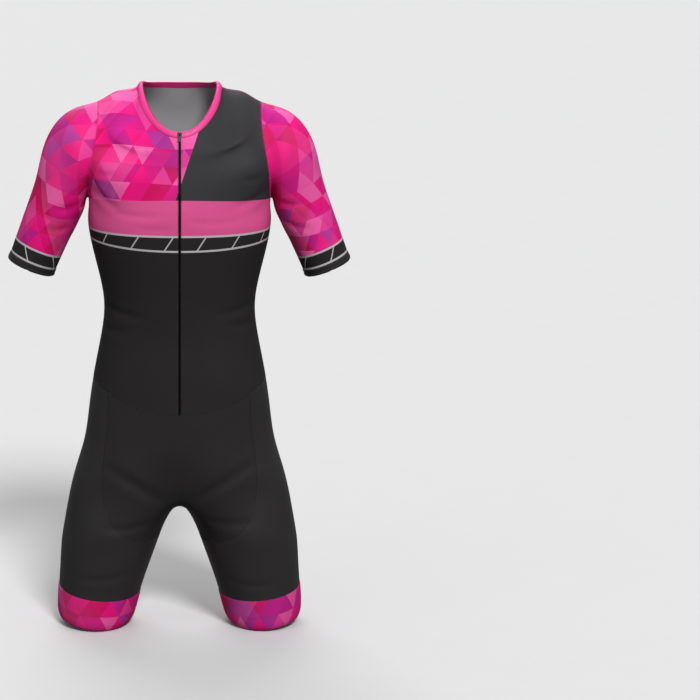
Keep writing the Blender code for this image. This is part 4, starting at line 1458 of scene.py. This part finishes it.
def make_teeth(line, length, material):
    """The coil's teeth: rounded bars that reach over the middle, from each side in turn."""
    low, high = TOOTH_REACH
    points, faces = [], []
    for number in range(int((length - ZIP_TOP) / TOOTH_PITCH)):
        for side, turn in TOOTH_TURNS:
            place, normal, down = down_line(line, ZIP_TOP + (number + turn) * TOOTH_PITCH)
            first = len(points)
            own = []
            for station in range(TOOTH_STATIONS):
                share = station / (TOOTH_STATIONS - 1)
                bulge = math.sin(math.pi * (TOOTH_END + (1 - 2 * TOOTH_END) * share)) ** 0.5
                across = Vector((side * (low + (high - low) * share), 0, 0))
                centre = place + across + normal * (TAPE_FRONT + TOOTH_HEIGHT * bulge)
                for corner in range(TOOTH_SIDES):
                    angle = 2 * math.pi * corner / TOOTH_SIDES
                    out = down * math.cos(angle) * TOOTH_FLATNESS + normal * math.sin(angle)
                    points.append(centre + out * TOOTH_RADIUS * bulge)
                if station:
                    own += ring_faces(len(points) - 2 * TOOTH_SIDES, TOOTH_SIDES)
            last = len(points) - TOOTH_SIDES
            own.append(list(range(first, first + TOOTH_SIDES)))
            own.append(list(range(last, last + TOOTH_SIDES))[::-1])
            faces += own if side < 0 else [ring[::-1] for ring in own]
    teeth = add_object("zip_teeth_coil", points, faces, [material])
    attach(teeth, "suit")


def make_zip(mesh, materials):
    line = zip_line(mesh)
    length = sum((end[0] - start[0]).length for start, end in zip(line, line[1:])) - SEAM_GAP
    make_tape(line, length, materials["tape"])
    make_teeth(line, length, materials["teeth"])


def finish_metal(nodes, material):
    """The slider and the pull keep their solids, with softened edges."""
    for name, width in METAL_EDGES:
        made = nodes[name]
        made.data.materials.clear()
        made.data.materials.append(material)
        bevel = made.modifiers.new("soft edges", "BEVEL")
        bevel.width = width
        bevel.segments = METAL_SEGMENTS
        bevel.limit_method = "ANGLE"
        bevel.angle_limit = math.radians(METAL_ANGLE)


# ---- Main ----

PIECES = {  # piece: the record's slot, and the materials of its outer and inner side
    "front_left": ("pink_knit", "front", "grey_inside"),
    "front_right": ("pink_knit", "front", "grey_inside"),
    "back": ("pink_knit", "back", "grey_inside"),
    "sleeve_left": ("pink_knit", "sleeve_left", "grey_inside"),
    "sleeve_right": ("pink_knit", "sleeve_right", "grey_inside"),
    "sleeve_hem_left": ("black_knit", "black", "black_inside"),
    "sleeve_hem_right": ("black_knit", "black", "black_inside"),
    "neck_binding": ("binding_knit", "binding", "binding"),
    "shorts_front": ("black_knit", "black", "black_inside"),
    "seat": ("black_knit", "black", "black_inside"),
    "leg_left": ("black_knit", "satin", "black_inside"),
    "leg_right": ("black_knit", "satin", "black_inside"),
    "leg_band_left": ("pink_knit", "band_left", "grey_inside"),
    "leg_band_right": ("pink_knit", "band_right", "grey_inside"),
}
BODY_PRINTS = {"front": (FRONT_BANDS, FRONT_BLOCK), "back": (BACK_BANDS, BACK_BLOCK)}


def cut_size(faces, layer, edge):
    """The width, length and area that the piece was cut to, from its developed size beside the middle.

    A trim's length takes in the cloth that turns over its edge.
    """
    across = {True: [], False: []}
    upward = []
    for face in faces:
        side = middle_of(face).x > 0
        across[side].extend(loop[layer].uv.x for loop in face.loops)
        upward.extend(loop[layer].uv.y for loop in face.loops)
    width = sum(max(places) - min(places) for places in across.values() if places)
    length = max(upward) - min(upward)
    area = sum(face.calc_area() for face in faces)
    if area < LEAST_FILL * width * length:
        # A panel that takes its places from two developments: the box round it, and the cloth's rounding
        box = np.ptp([vert.co for face in faces for vert in face.verts], axis=0)
        width, length = float(box[0]), float(box[2]) * PANEL_ROUNDING
    length = max(length, area / width) + edge  # smoothing can leave a narrow trim taller than its cage
    area += width * edge
    return (width / STRETCH, length / STRETCH), area / STRETCH**2


def make_surface(names):
    """The creased surface, cut along the seams, with each face's piece as its material's number."""
    surface = fitted_surface(make_cage(), names)
    crease_mesh(surface)
    mesh = bmesh.new()
    mesh.from_mesh(surface)
    mesh.loops.layers.uv.new("pattern")
    mesh.verts.index_update()
    cut_seams(mesh, names)
    mesh.verts.index_update()
    mesh.faces.index_update()
    mesh.edges.index_update()
    mesh.normal_update()
    open_front(mesh)
    mesh.verts.index_update()
    mesh.edges.index_update()
    return mesh


def make_cloth(materials):
    names = list(PIECES)
    mesh = make_surface(names)
    cut, pattern = (mesh.loops.layers.uv[name] for name in ("cut", "pattern"))
    for name, (slot, outer, inner) in PIECES.items():
        own = faces_of(mesh, names, (name,))
        for face in own:
            for loop in face.loops:
                loop[pattern].uv = loop[cut].uv
        body, sleeve = BODY_PRINTS.get(outer), outer.startswith("sleeve")
        if body or sleeve:
            flat_pattern(own, cut, pattern)
        profile = trim_profile(name)
        proud, depth = (TRIM_PROUD, TRIM_DEPTH) if profile else (0.0, CLOTH)
        sides = [materials[outer], materials[inner]]
        made = shell(name + "_cloth", own, (cut, pattern), proud, depth, sides, profile)
        points = positions(made.data)
        if body:
            bands, edge = body
            heights = [band_heights(point, bands) for point in points]
            write_print(made, heights, [block_field(point, edge) for point in points])
        elif sleeve:
            verts = {vert for face in own for vert in face.verts}
            hem = names.index(name.replace("sleeve", "sleeve_hem"))
            write_print(made, hem_heights(points, verts, hem, SLEEVE_BANDS), [0.0] * len(points))
        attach(made, "suit")
        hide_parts(name)
        size, area = cut_size(own, cut, proud + depth if profile else 0.0)
    sew(mesh, names, materials)
    make_zip(mesh, materials)
    mesh.free()


def make_camera():
    camera = bpy.data.objects.new("camera", bpy.data.cameras.new("camera"))
    bpy.context.scene.collection.objects.link(camera)
    camera.data.sensor_width = SENSOR
    camera.data.lens = SENSOR * FOCAL_PIXELS / PHOTO_SIZE
    camera.location = (0.0, -CAMERA_DISTANCE, CAMERA_HEIGHT)
    right, down, roll = (math.radians(angle) for angle in CAMERA_TURN)
    turn = Matrix.Rotation(-right, 3, "Z") @ Matrix.Rotation(math.radians(90) - down, 3, "X")
    turn = turn @ Matrix.Rotation(roll, 3, "Z")
    camera.rotation_euler = turn.to_euler()
    bpy.context.scene.camera = camera


# Soft suns: name, direction that the light comes from, strength, and angle across in degrees
LIGHTS = (
    ("key", (0.30, -1.00, 0.98), 2.45, 16),
    ("fill", (-0.90, -0.70, 0.40), 0.10, 50),
    ("rim", (-0.15, 1.00, 0.80), 1.35, 45),
)
# The room's light from below, from the sides and from above
ROOM = ((0.0, 0.09), (0.5, 0.14), (0.62, 0.30), (1.0, 0.50))
FLOOR_REACH = 30.0
FLOOR_GAP = 0.001  # from the suit's lowest point


def make_world():
    """The room's light by height, and one pale grey where the camera sees past the floor."""
    world = bpy.data.worlds.new("studio")
    bpy.context.scene.world = world
    world.use_nodes = True
    graph = Graph(world.node_tree)
    height = graph.split(graph.output("Generated", "ShaderNodeTexCoord"))[2]
    light = graph.ramp((height + 1.0) * 0.5, [(place, (light, light, light, 1.0)) for place, light in ROOM])
    seen = graph.mix(graph.output("Is Camera Ray", "ShaderNodeLightPath"), light, linear(BEYOND))
    graph.feed(seen, graph.tree.nodes["Background"].inputs["Color"])


def make_studio(floor_z):
    corners = [(x * FLOOR_REACH, y * FLOOR_REACH, floor_z) for x, y in ((-1, -1), (1, -1), (1, 1), (-1, 1))]
    grey = Material("floor_grey", roughness=0.9)
    floor = add_object("floor", corners, [[0, 1, 2, 3]], [grey.finish(linear(FLOOR), 0.01)])
    floor.visible_diffuse = False  # as in a studio, little light comes back up off the floor
    floor.visible_glossy = False
    make_world()
    for name, direction, strength, angle in LIGHTS:
        light = bpy.data.lights.new(name, "SUN")
        light.energy = strength
        light.angle = math.radians(angle)
        lamp = bpy.data.objects.new(name, light)
        lamp.rotation_euler = Vector(direction).to_track_quat("Z", "Y").to_euler()
        bpy.context.scene.collection.objects.link(lamp)
    bpy.context.scene.view_settings.view_transform = "Standard"


def main():
    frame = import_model()
    solid_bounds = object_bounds()
    make_camera()
    materials = make_materials()
    make_cloth(materials)
    finish_metal(frame["nodes"], materials["metal"])
    make_studio(solid_bounds[0].z - FLOOR_GAP)


main()
